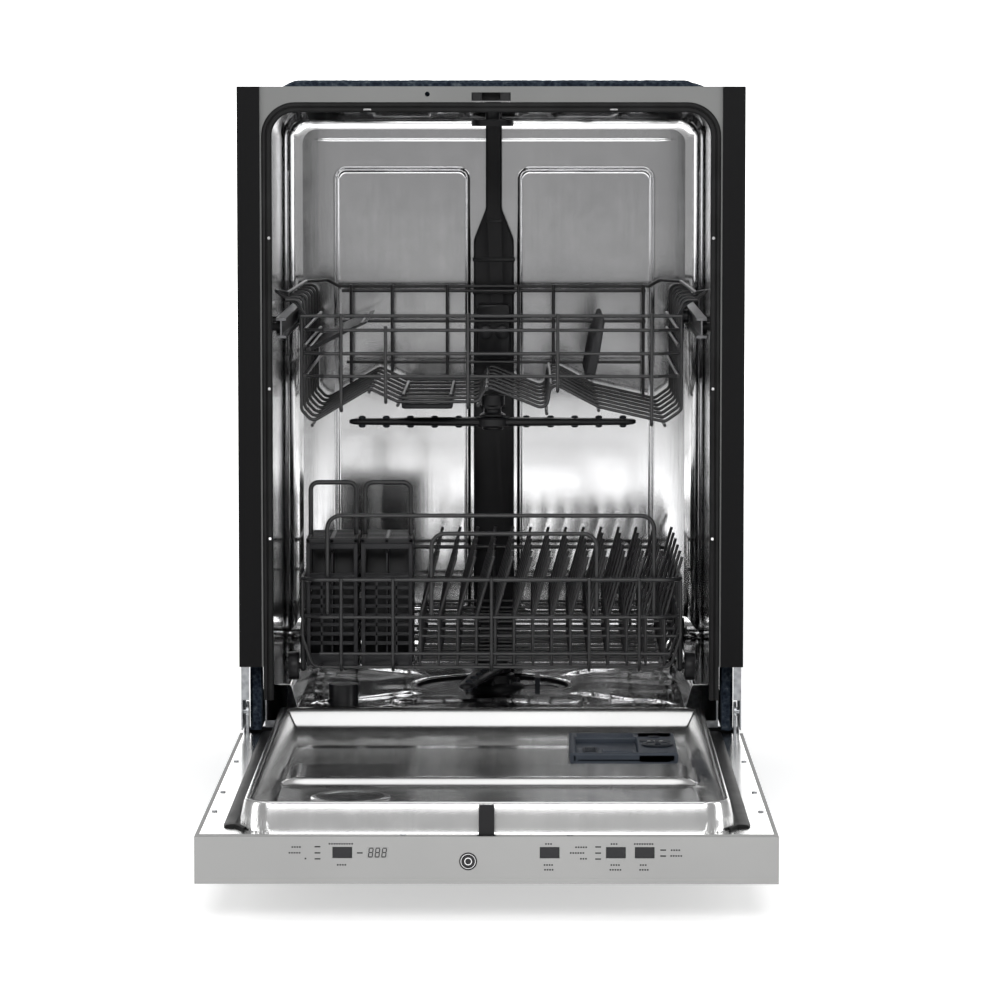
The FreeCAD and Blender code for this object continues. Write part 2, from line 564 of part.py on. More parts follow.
def build_door():
    back_of_panel = f"({TIP} + dims.panel_depth)"
    shell = box("panel_shell", (f"-{HALF}", HALF), (TIP, back_of_panel), (OUTER, FLANGE))
    wall = "dims.panel_wall"
    room = box("panel_room", (f"-{HALF} + {wall}", f"{HALF} - {wall}"),
               (f"{TIP} + {wall}", f"{back_of_panel} + 1"), (f"{OUTER} + {wall}", f"{FLANGE} - 2"))
    liner_room = box("panel_liner_room", (f"-{HALF} + 3.7", f"{HALF} - 3.7"),
                     (f"{TIP} + 18", f"{back_of_panel} + 1"), (f"{FLANGE} - 3", f"{FLANGE} + 1"))
    through = (f"{TIP} - 1", f"{TIP} + {wall} + 1")
    holes = [room, liner_room]
    for label, middle in BUTTONS.items():
        half_width = "(dims.button_width / 2 + dims.gap)"
        half_height = "(dims.button_height / 2 + dims.gap)"
        holes.append(box(label + "_hole", (f"{middle} - {half_width}", f"{middle} + {half_width}"),
                         through, (f"{BUTTON_LEVEL} - {half_height}",
                                   f"{BUTTON_LEVEL} + {half_height}")))
    holes.append(box("window_hole", (f"{WINDOW_MIDDLE} - 11", f"{WINDOW_MIDDLE} + 11"), through,
                     (f"{BUTTON_LEVEL} - 5.5", f"{BUTTON_LEVEL} + 5.5")))
    holes.append(rod("badge_seat", "Y", 9.3, 2, (BADGE_MIDDLE, f"{TIP} - 1.2", f"{FLANGE} - 25.3")))
    lamps = []
    for number, (middle, drop) in enumerate(LAMPS):
        spans = ((f"{middle} - 3", f"{middle} + 3"), (f"{FLANGE} - {drop} - 0.7",
                                                      f"{FLANGE} - {drop} + 0.7"))
        holes.append(box(f"lamp_hole_{number}", spans[0], through, spans[1]))
        lamps.append(box(f"lamp_{number}", spans[0], (f"{TIP} + 0.2", f"{TIP} + {wall}"), spans[1]))
    hook_slot = box("hook_slot", ("-9.5", "9.5"), (f"{TIP} + 6", f"{TIP} + 20"),
                    (f"{FLANGE} - 5", f"{FLANGE} + 1"))
    node("control_panel", difference("control_panel_cut", shell, *holes, hook_slot))
    node("indicator_lenses", group("indicator_lens_set", *lamps))
    node("display_window", box("display_window", (f"{WINDOW_MIDDLE} - 11", f"{WINDOW_MIDDLE} + 11"),
                               (f"{TIP} + 0.2", f"{TIP} + {wall}"),
                               (f"{BUTTON_LEVEL} - 5.5", f"{BUTTON_LEVEL} + 5.5")))
    node("panel_badge", rod("panel_badge", "Y", 9.2, 0.8,
                            (BADGE_MIDDLE, f"{TIP}", f"{FLANGE} - 25.3")))
    board = box("board_sheet", ("-190", "195"), (f"{TIP} + 9", f"{TIP} + 10.6"),
                (f"{OUTER} + {wall}", f"{FLANGE} - 6"))
    board_notch = box("board_notch", ("-27", "27"), (f"{TIP} + 8", f"{TIP} + 12"),
                      (f"{OUTER} + 9", f"{FLANGE}"))
    node("control_board", difference("control_board_cut", board, board_notch))
    for label, middle in BUTTONS.items():
        cap = box(label + "_cap", (f"{middle} - dims.button_width / 2",
                                   f"{middle} + dims.button_width / 2"),
                  (f"{TIP} + 0.2", f"{TIP} + {wall} + 4"),
                  (f"{BUTTON_LEVEL} - dims.button_height / 2",
                   f"{BUTTON_LEVEL} + dims.button_height / 2"))
        node(label, cap)

    skin = "dims.door_sheet"
    tail = "dims.door_tail"
    tray = box("outer_tray", (f"-{HALF}", HALF), (back_of_panel, tail), (OUTER, FLANGE))
    inside = box("outer_room", (f"-{HALF} + {skin}", f"{HALF} - {skin}"),
                 (f"{back_of_panel} - 1", f"{tail} - {skin}"), (f"{OUTER} + {skin}", f"{FLANGE} - {skin}"))
    mouth = box("outer_mouth", (f"-{HALF} + 3.7", f"{HALF} - 3.7"),
                (f"{back_of_panel} - 1", f"{tail} + 1"), (f"{FLANGE} - 2 * {skin}", f"{FLANGE} + 1"))
    node("door_outer_panel", difference("door_outer_cut", tray, inside, mouth))

    liner = new_body("door_liner_sheet")
    depth = f"({tail} - {LINER_FRONT})"
    sheet_low = f"({FLANGE} - dims.liner_sheet)"
    edge = f"({HALF} - 4.1)"
    flange_front = f"({TIP} + 18.4)"
    place(liner, 0, 0, sheet_low)
    flat = rectangle((f"-{edge}", edge), (flange_front, f"{tail} - 0.4"))
    pad(liner, sketch_on(liner, "liner_flange", "XY_Plane", [flat]), "dims.liner_sheet")
    block = rectangle((f"-{LINER}", LINER), (LINER_FRONT, f"{tail} - 0.5"))
    pad(liner, sketch_on(liner, "liner_block", "XY_Plane", [block]),
        "dims.liner_depth + dims.liner_sheet")
    round_edges(liner, "liner_corners", "Z",
                [(LINER, LINER_FRONT), (f"-{LINER}", LINER_FRONT)], 30)
    rim = "dims.liner_rim"
    inner = rectangle((f"-{LINER} + {rim}", f"{LINER} - {rim}"),
                      (f"{LINER_FRONT} + {rim}", f"{tail} - 0.5 - {rim}"))
    recess = sketch_on(liner, "liner_recess", "XY_Plane", [inner],
                       "dims.liner_depth + dims.liner_sheet")
    pocket(liner, recess, f"{RIM} - {RECESS}")
    under = rectangle((f"-{LINER} + 2", f"{LINER} - 2"), (f"{LINER_FRONT} + 2", f"{tail} - 2.5"))
    below = sketch_on(liner, "liner_underside", "XY_Plane", [under])
    pocket(liner, below, f"{RECESS} - {sheet_low} - dims.liner_sheet", backwards=True)
    ring_inner = rectangle((f"-{LINER} + {rim} - 1.2", f"{LINER} - {rim} + 1.2"),
                           (f"{LINER_FRONT} + {rim} - 1.2", f"{tail} - 0.5 - {rim} + 1.2"))
    ring = sketch_on(liner, "liner_rim_hollow", "XY_Plane", [
        rectangle((f"-{LINER} + 1.2", f"{LINER} - 1.2"), (f"{LINER_FRONT} + 10", f"{tail} - 1.7")),
        ring_inner])
    pocket(liner, ring, "dims.liner_depth", backwards=True)
    slots = [box("arm_slot_" + word, mirrored(side, f"{FRAME_HALF} - 11", f"{FRAME_HALF} + 1"),
                 ("6", f"{tail} + 1"), (f"{FLANGE} - 4", f"{FLANGE} + 4")) for side, word in SIDES]
    node("door_liner", difference("door_liner_cut", liner, *slots))

    arms = []
    for side, word in SIDES:
        start = f"{side} * ({FRAME_HALF} - 6.5) - 1.5"
        lug = rod("arm_lug_" + word, "X", 12, 3,
                  (start, "dims.pivot_setback", "dims.pivot_height"))
        span = (start, f"{start} + 3")
        crank = box("arm_crank_" + word, span, ("dims.pivot_setback - 11", "dims.pivot_setback + 11"),
                    (f"{OUTER} + {skin}", "dims.pivot_height"))
        bar = box("arm_bar_" + word, span, ("-220", "dims.pivot_setback + 11"),
                  (f"{OUTER} + {skin}", f"{OUTER} + 28"))
        hole = rod("arm_hole_" + word, "X", "dims.pivot_pin_radius + dims.running_fit", 12,
                   (f"{start} - 4", "dims.pivot_setback", "dims.pivot_height"))
        arms.append(difference("hinge_arm_" + word,
                               union("arm_whole_" + word, lug, crank, bar), hole))
    node("hinge_arms", group("hinge_arms_pair", *arms))
    node("door_insulation", box("door_insulation", (f"-{FRAME_HALF} + 12", f"{FRAME_HALF} - 12"),
                                (f"{back_of_panel} + 6", f"{tail} - 6"),
                                (f"{OUTER} + {skin} + 0.2", f"{FLANGE} - 6")))

    screws = []
    for side, word in SIDES:
        for distance in (530, 300, 166):
            screws.append(rod(f"flange_screw_{word}_{distance}", "Z", 3, 1.3,
                              (f"{side} * ({HALF} - 10)", f"{TIP} + {distance}", FLANGE)))
        screws.append(rod(f"panel_screw_{word}", "Z", 3, 1.3, (side * 86, f"{TIP} + 11", FLANGE)))
    node("door_screws", group("door_screw_set", *screws))

    hook_back = f"{TIP} + 16.4"
    blade = box("hook_blade", ("-8", "8"), (f"{TIP} + 8.5", hook_back),
                (f"{FLANGE} - 22", f"{RIM} + 0.5"))
    eye = rod("hook_eye", "X", 7, 16, ("-8", f"{TIP} + 12.7", f"{FLANGE} - 22"))
    bore = rod("hook_bore", "X", 3.05, 20, ("-10", f"{TIP} + 12.7", f"{FLANGE} - 22"))
    node("latch_hook", difference("latch_hook_cut", union("hook_whole", blade, eye), bore))
    case = box("latch_case", ("-26", "26"), (f"{TIP} + 3", f"{TIP} + 40"),
               (f"{OUTER} + 9.5", f"{FLANGE} - 8"))
    case_room = box("latch_case_room", ("-9", "9"), (f"{TIP} + 4.5", f"{TIP} + 22"),
                    (f"{FLANGE} - 31", f"{FLANGE} + 2"))
    pin = rod("latch_pin", "X", 3, 24, ("-12", f"{TIP} + 12.7", f"{FLANGE} - 22"))
    node("latch_housing", union("latch_housing_whole",
                                difference("latch_case_cut", case, case_room), pin))


def build_door_fittings():
    left, right = "91", "91 + dims.dispenser_width"
    near = f"({TIP} + 465)"
    far = f"({near} + dims.dispenser_length)"
    top = f"({RECESS} + dims.dispenser_rise)"
    block = box("dispenser_block", (left, right), (near, far), (RECESS, top))
    channel = box("dispenser_channel", ("99", "168"), (f"{near} + 8", f"{far} - 37"),
                  (f"{top} - 6", f"{top} + 1"))
    cup = box("dispenser_cup", ("103", "164"), (f"{near} + 12", f"{near} + 60"),
              (f"{RECESS} + 1.5", top))
    node("dispenser_body", difference("dispenser_body_cut", block, channel, cup))
    lid = box("lid_plate", ("99.4", "167.6"), (f"{near} + 8.4", f"{near} + 63"),
              (f"{top} - 5.6", f"{top} - 3.2"))
    grip = box("lid_grip", ("108", "121"), (f"{near} + 14", f"{near} + 56"),
               (f"{top} - 3.4", f"{top} - 0.5"))
    node("dispenser_lid", union("dispenser_lid_whole", lid, grip))
    cap = rod("rinse_cap_disc", "Z", 18.5, 3.5, (192, f"{near} + 60", f"{top} + dims.gap"))
    grip_side = [box(f"rinse_grip_{word}", mirrored(side, "3", "20"), ("-14", "14"), (0, 10))
                 for side, word in SIDES]
    for part, side in zip(grip_side, (-1, 1)):
        place(part, f"192 + {side} * 12 - 8.5", f"{near} + 46", f"{top} + 2")
    node("rinse_aid_cap", difference("rinse_aid_cap_cut", cap, *grip_side))
    node("vent_cover", rod("vent_cover", "Z", 44.5, 3, (-149, f"{TIP} + 235", RECESS)))


# ---------------------------------------------------------------- racks

def build_upper_rack():
    low, rim, rear_rim = "dims.upper_rack_low", "dims.upper_rack_rim", "dims.upper_rack_rear"
    front = "dims.rack_front"
    inner = f"({RACK} - {WIRE})"
    inside = f"({front} + {WIRE})"
    wall_low = f"{low} + 43"
    panels = [
        wire_grid("upper_front", "XZ_Plane", (f"-{inner}", inner), (wall_low, rim), (9, 3),
                  (0, front, 0), True),
        wire_grid("upper_rear", "XZ_Plane", (f"-{inner}", inner), (wall_low, rear_rim), (9, 3),
                  (0, f"{RACK_BACK} - {WIRE}", 0), True)]
    for side, word in SIDES:
        start = inner if side > 0 else f"-{RACK}"
        panels.append(wire_grid("upper_side_" + word, "YZ_Plane", ("0", f"{RACK_BACK} - {front}"),
                                (f"{low} + 17", rim), (9, 2), (start, front, 0)))
    # The floor is bent into valleys that cups and glasses lean in: (X, height over the low point).
    bends = [(f"-{inner}", 27), (f"-{inner} + 12", 0), ("-146", 42), ("-112", 26), ("-16", 26),
             ("-6", 45), ("66", 16), ("71", 50), ("128", 20), (f"{inner} - 12", 0), (inner, 27)]
    floor = new_body("upper_floor")
    upper_line = [(x, f"{low} + {rise}") for x, rise in bends]
    lower_line = [(x, f"{low} + {rise} - {WIRE}") for x, rise in reversed(bends)]
    pad(floor, sketch_on(floor, "upper_floor_section", "XZ_Plane", [upper_line + lower_line]),
        f"{RACK_BACK} - {front} - 2 * {WIRE}", True)
    bays = 10
    step = f"(({RACK_BACK} - {front} - 3 * {WIRE}) / {bays})"
    # One row of windows, repeated from front to back, leaves bars along the valleys.
    open_spans = [(f"-{inner} + 12 + {WIRE} / 2", f"-146 - {WIRE} / 2"), ("-112", "-66"),
                  ("-62", "-18"), (f"71 + {WIRE} / 2", f"128 - {WIRE} / 2"),
                  (f"128 + {WIRE} / 2", f"{inner} - 12 - {WIRE} / 2")]
    windows = [rectangle(span, (WIRE, step)) for span in open_spans]
    opening = sketch_on(floor, "upper_floor_windows", "XY_Plane", windows, f"{low} + 60")
    cut = pocket(floor, opening, 80)
    row = floor.newObject("PartDesign::LinearPattern", "upper_floor_rows")
    row.Originals = [cut]
    row.Direction = (opening, ["V_Axis"])
    row.setExpression("Length", f"{step} * {bays - 1}")
    row.Occurrences = bays
    floor.Tip = row
    place(floor, 0, inside, 0)
    node("upper_rack", group("upper_rack_basket", *panels, floor))

    blocks = []
    for side, word in SIDES:
        plate = box("slide_plate_" + word, mirrored(side, RACK, f"{RACK} + 10"),
                    (f"{RACK_BACK} - 190", f"{RACK_BACK} - 17"),
                    ("dims.rail_level - 33", "dims.rail_level + 20"))
        # Each roller runs from inside its block to just short of the groove's floor.
        reach = "(dims.rack_clearance - 33.3)"
        pegs = [rod(f"slide_roller_{word}_{number}", "X", "dims.roller_radius", reach,
                    (f"{side} * ({RACK} + 9.5 + {reach} / 2) - {reach} / 2",
                     f"{RACK_BACK} - {distance}", "dims.rail_level"))
                for number, distance in enumerate((170, 30))]
        blocks.append(union("slide_block_" + word, plate, *pegs))
    node("rack_slide_blocks", group("rack_slide_blocks_pair", *blocks))

    half = "dims.rail_height / 2"
    for side, word in SIDES:
        near_x = f"({TUB} - 28)"
        far_x = f"({near_x} + dims.rail_width)"
        bar = box("rail_bar_" + word, mirrored(side, near_x, far_x), ("35", f"{RACK_BACK} - 5"),
                  (f"dims.rail_level - {half}", f"dims.rail_level + {half}"))
        grooves = [box(f"rail_groove_{word}_{name}", mirrored(side, *span), ("30", RACK_BACK),
                       ("dims.rail_level - dims.roller_radius - 0.3",
                        "dims.rail_level + dims.roller_radius + 0.3"))
                   for name, span in (("in", (f"{near_x} - 1", f"{near_x} + 5")),
                                      ("out", (f"{far_x} - 5", f"{far_x} + 1")))]
        node("rack_rail_" + word, difference("rack_rail_cut_" + word, bar, *grooves))
    rollers = []
    for side, word in SIDES:
        for number, distance in enumerate((70, 230)):
            wheel = rod(f"wall_roller_{word}_{number}", "X", "dims.roller_radius", 6,
                        (f"{side} * ({TUB} - 17.5) - 3", distance, "dims.rail_level"))
            boss = rod(f"wall_boss_{word}_{number}", "X", 5, 16,
                       (f"{side} * ({TUB} - 8) - 8", distance, "dims.rail_level"))
            rollers.append(union(f"rail_roller_{word}_{number}", wheel, boss))
    node("rail_rollers", group("rail_roller_set", *rollers))

    arm_top = "(dims.upper_arm_level + dims.arm_thickness)"
    axis_y = "dims.arm_axis_back"
    duct = box("manifold_duct", ("-11", "11"), (f"{axis_y} - 12", f"{RACK_BACK} + 4"),
               (f"{arm_top} + 8", f"{arm_top} + 25"))
    inlet = rod("manifold_inlet", "Y", 10, 20,
                (0, f"{BACK} - dims.feed_tube_depth - 13 - dims.gap - 20",
                 "dims.upper_arm_level + 29"))
    neck = rod("manifold_neck", "Z", 16, 9, (0, axis_y, f"{arm_top} + dims.gap"))
    pin = rod("manifold_pin", "Z", 7, "dims.arm_thickness + 6",
              (0, axis_y, "dims.upper_arm_level - 4"))
    washer = rod("manifold_washer", "Z", 13, 4, (0, axis_y, "dims.upper_arm_level - 4 - dims.gap"))
    node("rack_manifold", union("rack_manifold_whole", duct, inlet, neck, pin, washer))

    shelf = doc.addObject("Part::Box", "cup_shelf_plate")
    shelf.Length, shelf.Width, shelf.Height = 78, 300, 4
    shelf.Placement = FreeCAD.Placement(FreeCAD.Vector(),
                                        FreeCAD.Rotation(FreeCAD.Vector(0, 1, 0), -25))
    place(shelf, f"-{inner} + 5", 120, f"{low} + 85")
    knuckle = rod("cup_shelf_knuckle", "Y", 4.2, 300, (f"-{inner} + 5", 120, f"{low} + 86"))
    node("cup_shelf", union("cup_shelf_whole", shelf, knuckle))

    row_x, row_z = "118", f"({low} + 52)"
    tines = [rod("tine_bar", "Y", 3, 300, (row_x, 120, row_z))]
    for number in range(8):
        tine = rod(f"tine_{number}", "Z", 2, 72, (row_x, 131 + 39 * number, row_z))
        tine.Placement = FreeCAD.Placement(FreeCAD.Vector(),
                                           FreeCAD.Rotation(FreeCAD.Vector(0, 1, 0), 12))
        place(tine, row_x, 131 + 39 * number, row_z)
        tines.append(tine)
    node("folding_tines", union("folding_tines_whole", *tines))


def spray_arm(label, radius, level, axis_back, angle, hub_top):
    """A flat tapered blade with a bored hub, turned to its resting angle."""
    body = new_body(label + "_blade")
    hub = 24
    outline = [(f"-{radius}", "-9"), (f"-{hub}", "-17"), (hub, "-17"), (radius, "-9"),
               (radius, "9"), (hub, "17"), (f"-{hub}", "17"), (f"-{radius}", "9")]
    pad(body, sketch_on(body, label + "_outline", "XY_Plane", [outline]), "dims.arm_thickness")
    body.Placement = FreeCAD.Placement(FreeCAD.Vector(),
                                       FreeCAD.Rotation(FreeCAD.Vector(0, 0, 1), angle))
    place(body, 0, axis_back, level)
    boss = rod(label + "_boss", "Z", hub, f"dims.arm_thickness + {hub_top}", (0, axis_back, level))
    bore = rod(label + "_bore", "Z", "7 + dims.running_fit", 60, (0, axis_back, f"{level} - 10"))
    node(label, difference(label + "_bored", union(label + "_whole", body, boss), bore))


def build_lower_rack():
    low, rim = "dims.lower_rack_low", "dims.lower_rack_rim"
    front = "dims.rack_front"
    inner = f"({RACK} - {WIRE})"
    panels = [
        wire_grid("lower_front", "XZ_Plane", (f"-{inner}", inner), (low, rim), (10, 3),
                  (0, front, 0), True),
        wire_grid("lower_rear", "XZ_Plane", (f"-{inner}", inner), (low, rim), (10, 3),
                  (0, f"{RACK_BACK} - {WIRE}", 0), True)]
    for side, word in SIDES:
        start = inner if side > 0 else f"-{RACK}"
        panels.append(wire_grid("lower_side_" + word, "YZ_Plane", ("0", f"{RACK_BACK} - {front}"),
                                (low, rim), (10, 3), (start, front, 0)))
    panels.append(wire_grid("lower_floor", "XY_Plane", (f"-{inner}", inner),
                            ("0", f"{RACK_BACK} - {front} - 2 * {WIRE}"), (12, 12),
                            (0, f"{front} + {WIRE}", low)))
    axles = []
    level = "(dims.ledge_height + dims.wheel_radius + 0.3)"
    for side, word in SIDES:
        for end, distance in (("front", f"{front} + 45"), ("rear", f"{RACK_BACK} - 45")):
            axles.append(rod(f"axle_{word}_{end}", "X", "dims.axle_radius", "dims.wheel_width + 5",
                             (f"{side} * ({RACK} + (dims.wheel_width + 5) / 2)"
                              f" - (dims.wheel_width + 5) / 2", distance, level)))
            disc = rod(f"wheel_disc_{word}_{end}", "X", "dims.wheel_radius", "dims.wheel_width",
                       (f"{side} * ({RACK} + 3 + dims.wheel_width / 2) - dims.wheel_width / 2",
                        distance, level))
            bore = rod(f"wheel_bore_{word}_{end}", "X", "dims.axle_radius + dims.running_fit", 60,
                       (f"{side} * ({RACK} + 10) - 30", distance, level))
            node(f"rack_wheel_{end}_{word}", difference(f"wheel_{word}_{end}", disc, bore))
    node("lower_rack", group("lower_rack_basket", *panels, *axles))

    modules = []
    floor_top = f"({low} + {WIRE} + 0.4)"
    for number in range(2):
        left = f"(-{inner} + 2 + {number} * (dims.basket_width + 4))"
        front_y = f"({front} + 28)"
        block = box(f"basket_block_{number}", (left, f"{left} + dims.basket_width"),
                    (front_y, f"{front_y} + dims.basket_length"),
                    (floor_top, f"{floor_top} + dims.basket_height"))
        wall = "dims.basket_wall"
        cells = []
        cell_x = f"((dims.basket_width - 3 * {wall}) / 2)"
        cell_y = f"((dims.basket_length - 3 * {wall}) / 2)"
        for column in range(2):
            for row in range(2):
                x_low = f"{left} + {wall} + {column} * ({cell_x} + {wall})"
                y_low = f"{front_y} + {wall} + {row} * ({cell_y} + {wall})"
                cells.append(box(f"basket_cell_{number}_{column}_{row}",
                                 (x_low, f"{x_low} + {cell_x}"), (y_low, f"{y_low} + {cell_y}"),
                                 (f"{floor_top} + {wall}", f"{floor_top} + dims.basket_height + 1")))
        walls = difference(f"basket_walls_{number}", block, *cells)
        basket_top = f"({floor_top} + dims.basket_height)"
        middle = f"({front_y} + dims.basket_length / 2)"
        loop = [box(f"basket_post_{number}_{end}", (x, f"{x} + 4"), (f"{middle} - 2", f"{middle} + 2"),
                    (f"{basket_top} - 30", f"{basket_top} + 72"))
                for end, x in (("left", left), ("right", f"{left} + dims.basket_width - 4"))]
        bar = box(f"basket_bar_{number}", (left, f"{left} + dims.basket_width"),
                  (f"{middle} - 2", f"{middle} + 2"), (f"{basket_top} + 68", f"{basket_top} + 72"))
        modules.append(union(f"basket_module_{number}", walls, *loop, bar))
    clip_x = f"(-{inner} + 2 + dims.basket_width)"
    clip = box("basket_clip", (f"{clip_x} - 1", f"{clip_x} + 5"),
               (f"{front} + 40", f"{front} + 120"), (f"{floor_top} + 60", f"{floor_top} + 80"))
    node("silverware_basket", union("silverware_basket_whole", *modules, clip))


build_tub()
build_front()
build_base()
build_water_path()
build_door()
build_door_fittings()
build_upper_rack()
spray_arm("upper_spray_arm", "dims.upper_arm_radius", "dims.upper_arm_level",
          "dims.arm_axis_back", 0, "0")
spray_arm("lower_spray_arm", "dims.lower_arm_radius", "dims.lower_arm_level",
          "dims.sump_back", 80, "0")
build_lower_rack()
doc.recompute()

os.makedirs("parts", exist_ok=True)
for item in doc.Objects:
    if "Invalid" in item.State or "Error" in item.State:
        raise RuntimeError(f"{item.Name} did not compute: {item.State}")
labels = [item.Label for item in nodes]
if len(labels) != len(set(labels)):
    raise RuntimeError("two sub-parts share a name")
for item in nodes:
    if item.Shape.isNull() or not item.Shape.isValid():
        raise RuntimeError(f"{item.Label} has no valid shape")
for item in nodes:
    item.Shape.exportStep(f"parts/{item.Label}.step")
    extent = item.Shape.BoundBox
    print(f"{item.Label:20s} solids {len(item.Shape.Solids):2d} volume {item.Shape.Volume / 1000:9.1f} cm3"
          f" x {extent.XMin:.1f}..{extent.XMax:.1f} y {extent.YMin:.1f}..{extent.YMax:.1f}"
          f" z {extent.ZMin:.1f}..{extent.ZMax:.1f}")
print(len(nodes), "sub-parts")
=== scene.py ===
import math
from collections import namedtuple

import bmesh
import bpy
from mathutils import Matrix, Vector, noise


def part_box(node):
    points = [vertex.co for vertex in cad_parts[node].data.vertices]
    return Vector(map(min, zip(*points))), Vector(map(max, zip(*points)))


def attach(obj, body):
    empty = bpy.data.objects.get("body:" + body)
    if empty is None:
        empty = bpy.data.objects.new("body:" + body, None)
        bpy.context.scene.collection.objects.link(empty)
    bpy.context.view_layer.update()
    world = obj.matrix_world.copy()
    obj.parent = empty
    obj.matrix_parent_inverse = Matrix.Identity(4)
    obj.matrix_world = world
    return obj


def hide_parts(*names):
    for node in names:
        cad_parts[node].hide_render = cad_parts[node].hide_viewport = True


# A built-in dishwasher with its door open flat. Lengths below are in mm: X from the centre line,
# Y from the cabinet's front plane, Z from the floor.

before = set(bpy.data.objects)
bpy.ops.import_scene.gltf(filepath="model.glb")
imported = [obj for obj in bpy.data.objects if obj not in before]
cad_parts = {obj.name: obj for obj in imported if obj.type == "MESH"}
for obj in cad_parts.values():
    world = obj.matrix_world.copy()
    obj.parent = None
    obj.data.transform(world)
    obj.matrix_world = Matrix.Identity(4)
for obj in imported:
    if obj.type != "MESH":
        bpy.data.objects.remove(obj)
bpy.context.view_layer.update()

MM = 0.001
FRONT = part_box("front_frame")[0].y / MM
# Thickness of the pressed steel
STEEL = 1.2
Spot = namedtuple("Spot", "x y z")


def extent(node):
    """The two outer corners of a CAD node."""
    corners = [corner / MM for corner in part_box(node)]
    return [Spot(corner.x, corner.y - FRONT, corner.z) for corner in corners]


def centre_of(node):
    """The middle of a CAD node."""
    return Spot(*((low + high) / 2 for low, high in zip(*extent(node))))


WRAP_LOW, WRAP_HIGH = extent("tub_wrap")
LINER_LOW, LINER_HIGH = extent("door_liner")
TUB_HALF = WRAP_HIGH.x - STEEL
CEILING = WRAP_HIGH.z - STEEL
BACK = WRAP_HIGH.y
LEDGE = WRAP_LOW.z
FLOOR = LEDGE - 30
TIP = extent("control_panel")[0].y
FLANGE = extent("control_panel")[1].z
RIM = LINER_HIGH.z
TAIL = LINER_HIGH.y
RACK_FRONT = extent("upper_rack")[0].y
RACK_BACK = extent("upper_rack")[1].y
RACK_HALF = extent("upper_rack")[1].x
# Both spray arms and the lower mount turn about this line, 94.7 behind the flat filter's edge
ARM_AXIS = extent("flat_filter")[0].y + 94.7


# ---------------------------------------------------------------- outlines

def soft_corners(outline, radius, closed=True, steps=6):
    """An outline with its corners rounded; radius is one size or one for each corner."""
    count = len(outline)
    radii = radius if isinstance(radius, (list, tuple)) else [radius] * count
    made = []
    for index, corner in enumerate(outline):
        here = Vector(corner)
        if not closed and index in (0, count - 1):
            made.append(here)
            continue
        before = Vector(outline[index - 1]) - here
        after = Vector(outline[(index + 1) % count]) - here
        turn = before.angle(after, math.pi)
        reach = min(radii[index] / max(math.tan(turn / 2), 0.05),
                    before.length * 0.48, after.length * 0.48)
        if reach < 0.02 or turn > 3.1:
            made.append(here)
            continue
        start = here + before.normalized() * reach
        end = here + after.normalized() * reach
        for step in range(steps + 1):
            t = step / steps
            made.append(start * (1 - t) ** 2 + here * 2 * t * (1 - t) + end * t ** 2)
    return made


def rectangle(low, high):
    return [(low[0], low[1]), (high[0], low[1]), (high[0], high[1]), (low[0], high[1])]


def arch_line(half, top, radius, low, side=16, arc=14, across=20):
    """(x, z) points up the left side, over the top and down the right side."""
    left = [(-half, low + (top - radius - low) * i / side) for i in range(side)]
    bend = [(-half + radius - radius * math.cos(math.pi / 2 * i / arc),
             top - radius + radius * math.sin(math.pi / 2 * i / arc)) for i in range(arc)]
    flat = half - radius
    middle = [(-flat + flat * i / across, top) for i in range(across)]
    half_line = left + bend + middle
    return half_line + [(0, top)] + [(-x, z) for x, z in reversed(half_line)]


def smooth(value, low, high):
    t = min(max((value - low) / (high - low), 0), 1)
    return t * t * (3 - 2 * t)


def band(value, low, high, soft):
    return smooth(value, low - soft, low + soft) * (1 - smooth(value, high - soft, high + soft))


def spread(*stops):
    """Numbers from stop to stop: (start, (end, parts), (end, parts), ...)."""
    values = [stops[0]]
    for end, parts in stops[1:]:
        start = values[-1]
        values += [start + (end - start) * (i + 1) / parts for i in range(parts)]
    return values


def rounded_box_distance(x, z, low, high, radius):
    """Distance from a rounded rectangle's edge, negative inside it."""
    dx = abs(x - (low[0] + high[0]) / 2) - (high[0] - low[0]) / 2 + radius
    dz = abs(z - (low[1] + high[1]) / 2) - (high[1] - low[1]) / 2 + radius
    return math.hypot(max(dx, 0), max(dz, 0)) + min(max(dx, dz), 0) - radius


# ---------------------------------------------------------------- node trees for repeats

def new_tree(name, sockets):
    tree = bpy.data.node_groups.new(name, "GeometryNodeTree")
    tree.interface.new_socket("Geometry", in_out="INPUT", socket_type="NodeSocketGeometry")
    keys = {}
    for label, kind in sockets:
        keys[label] = tree.interface.new_socket(label, in_out="INPUT",
                                                socket_type="NodeSocket" + kind).identifier
    tree.interface.new_socket("Geometry", in_out="OUTPUT", socket_type="NodeSocketGeometry")
    return tree, keys


def add_row(tree, start):
    """Copies of the incoming shape, one step apart."""
    line = tree.nodes.new("GeometryNodeMeshLine")
    tree.links.new(start.outputs["Count"], line.inputs["Count"])
    tree.links.new(start.outputs["Step"], line.inputs["Offset"])
    on_points = tree.nodes.new("GeometryNodeInstanceOnPoints")
    tree.links.new(line.outputs["Mesh"], on_points.inputs["Points"])
    tree.links.new(start.outputs["Geometry"], on_points.inputs["Instance"])
    real = tree.nodes.new("GeometryNodeRealizeInstances")
    tree.links.new(on_points.outputs["Instances"], real.inputs["Geometry"])
    return real.outputs["Geometry"]


def finish_tree(tree, start, shape):
    paint = tree.nodes.new("GeometryNodeSetMaterial")
    tree.links.new(shape, paint.inputs["Geometry"])
    tree.links.new(start.outputs["Finish"], paint.inputs["Material"])
    end = tree.nodes.new("NodeGroupOutput")
    tree.links.new(paint.outputs["Geometry"], end.inputs["Geometry"])


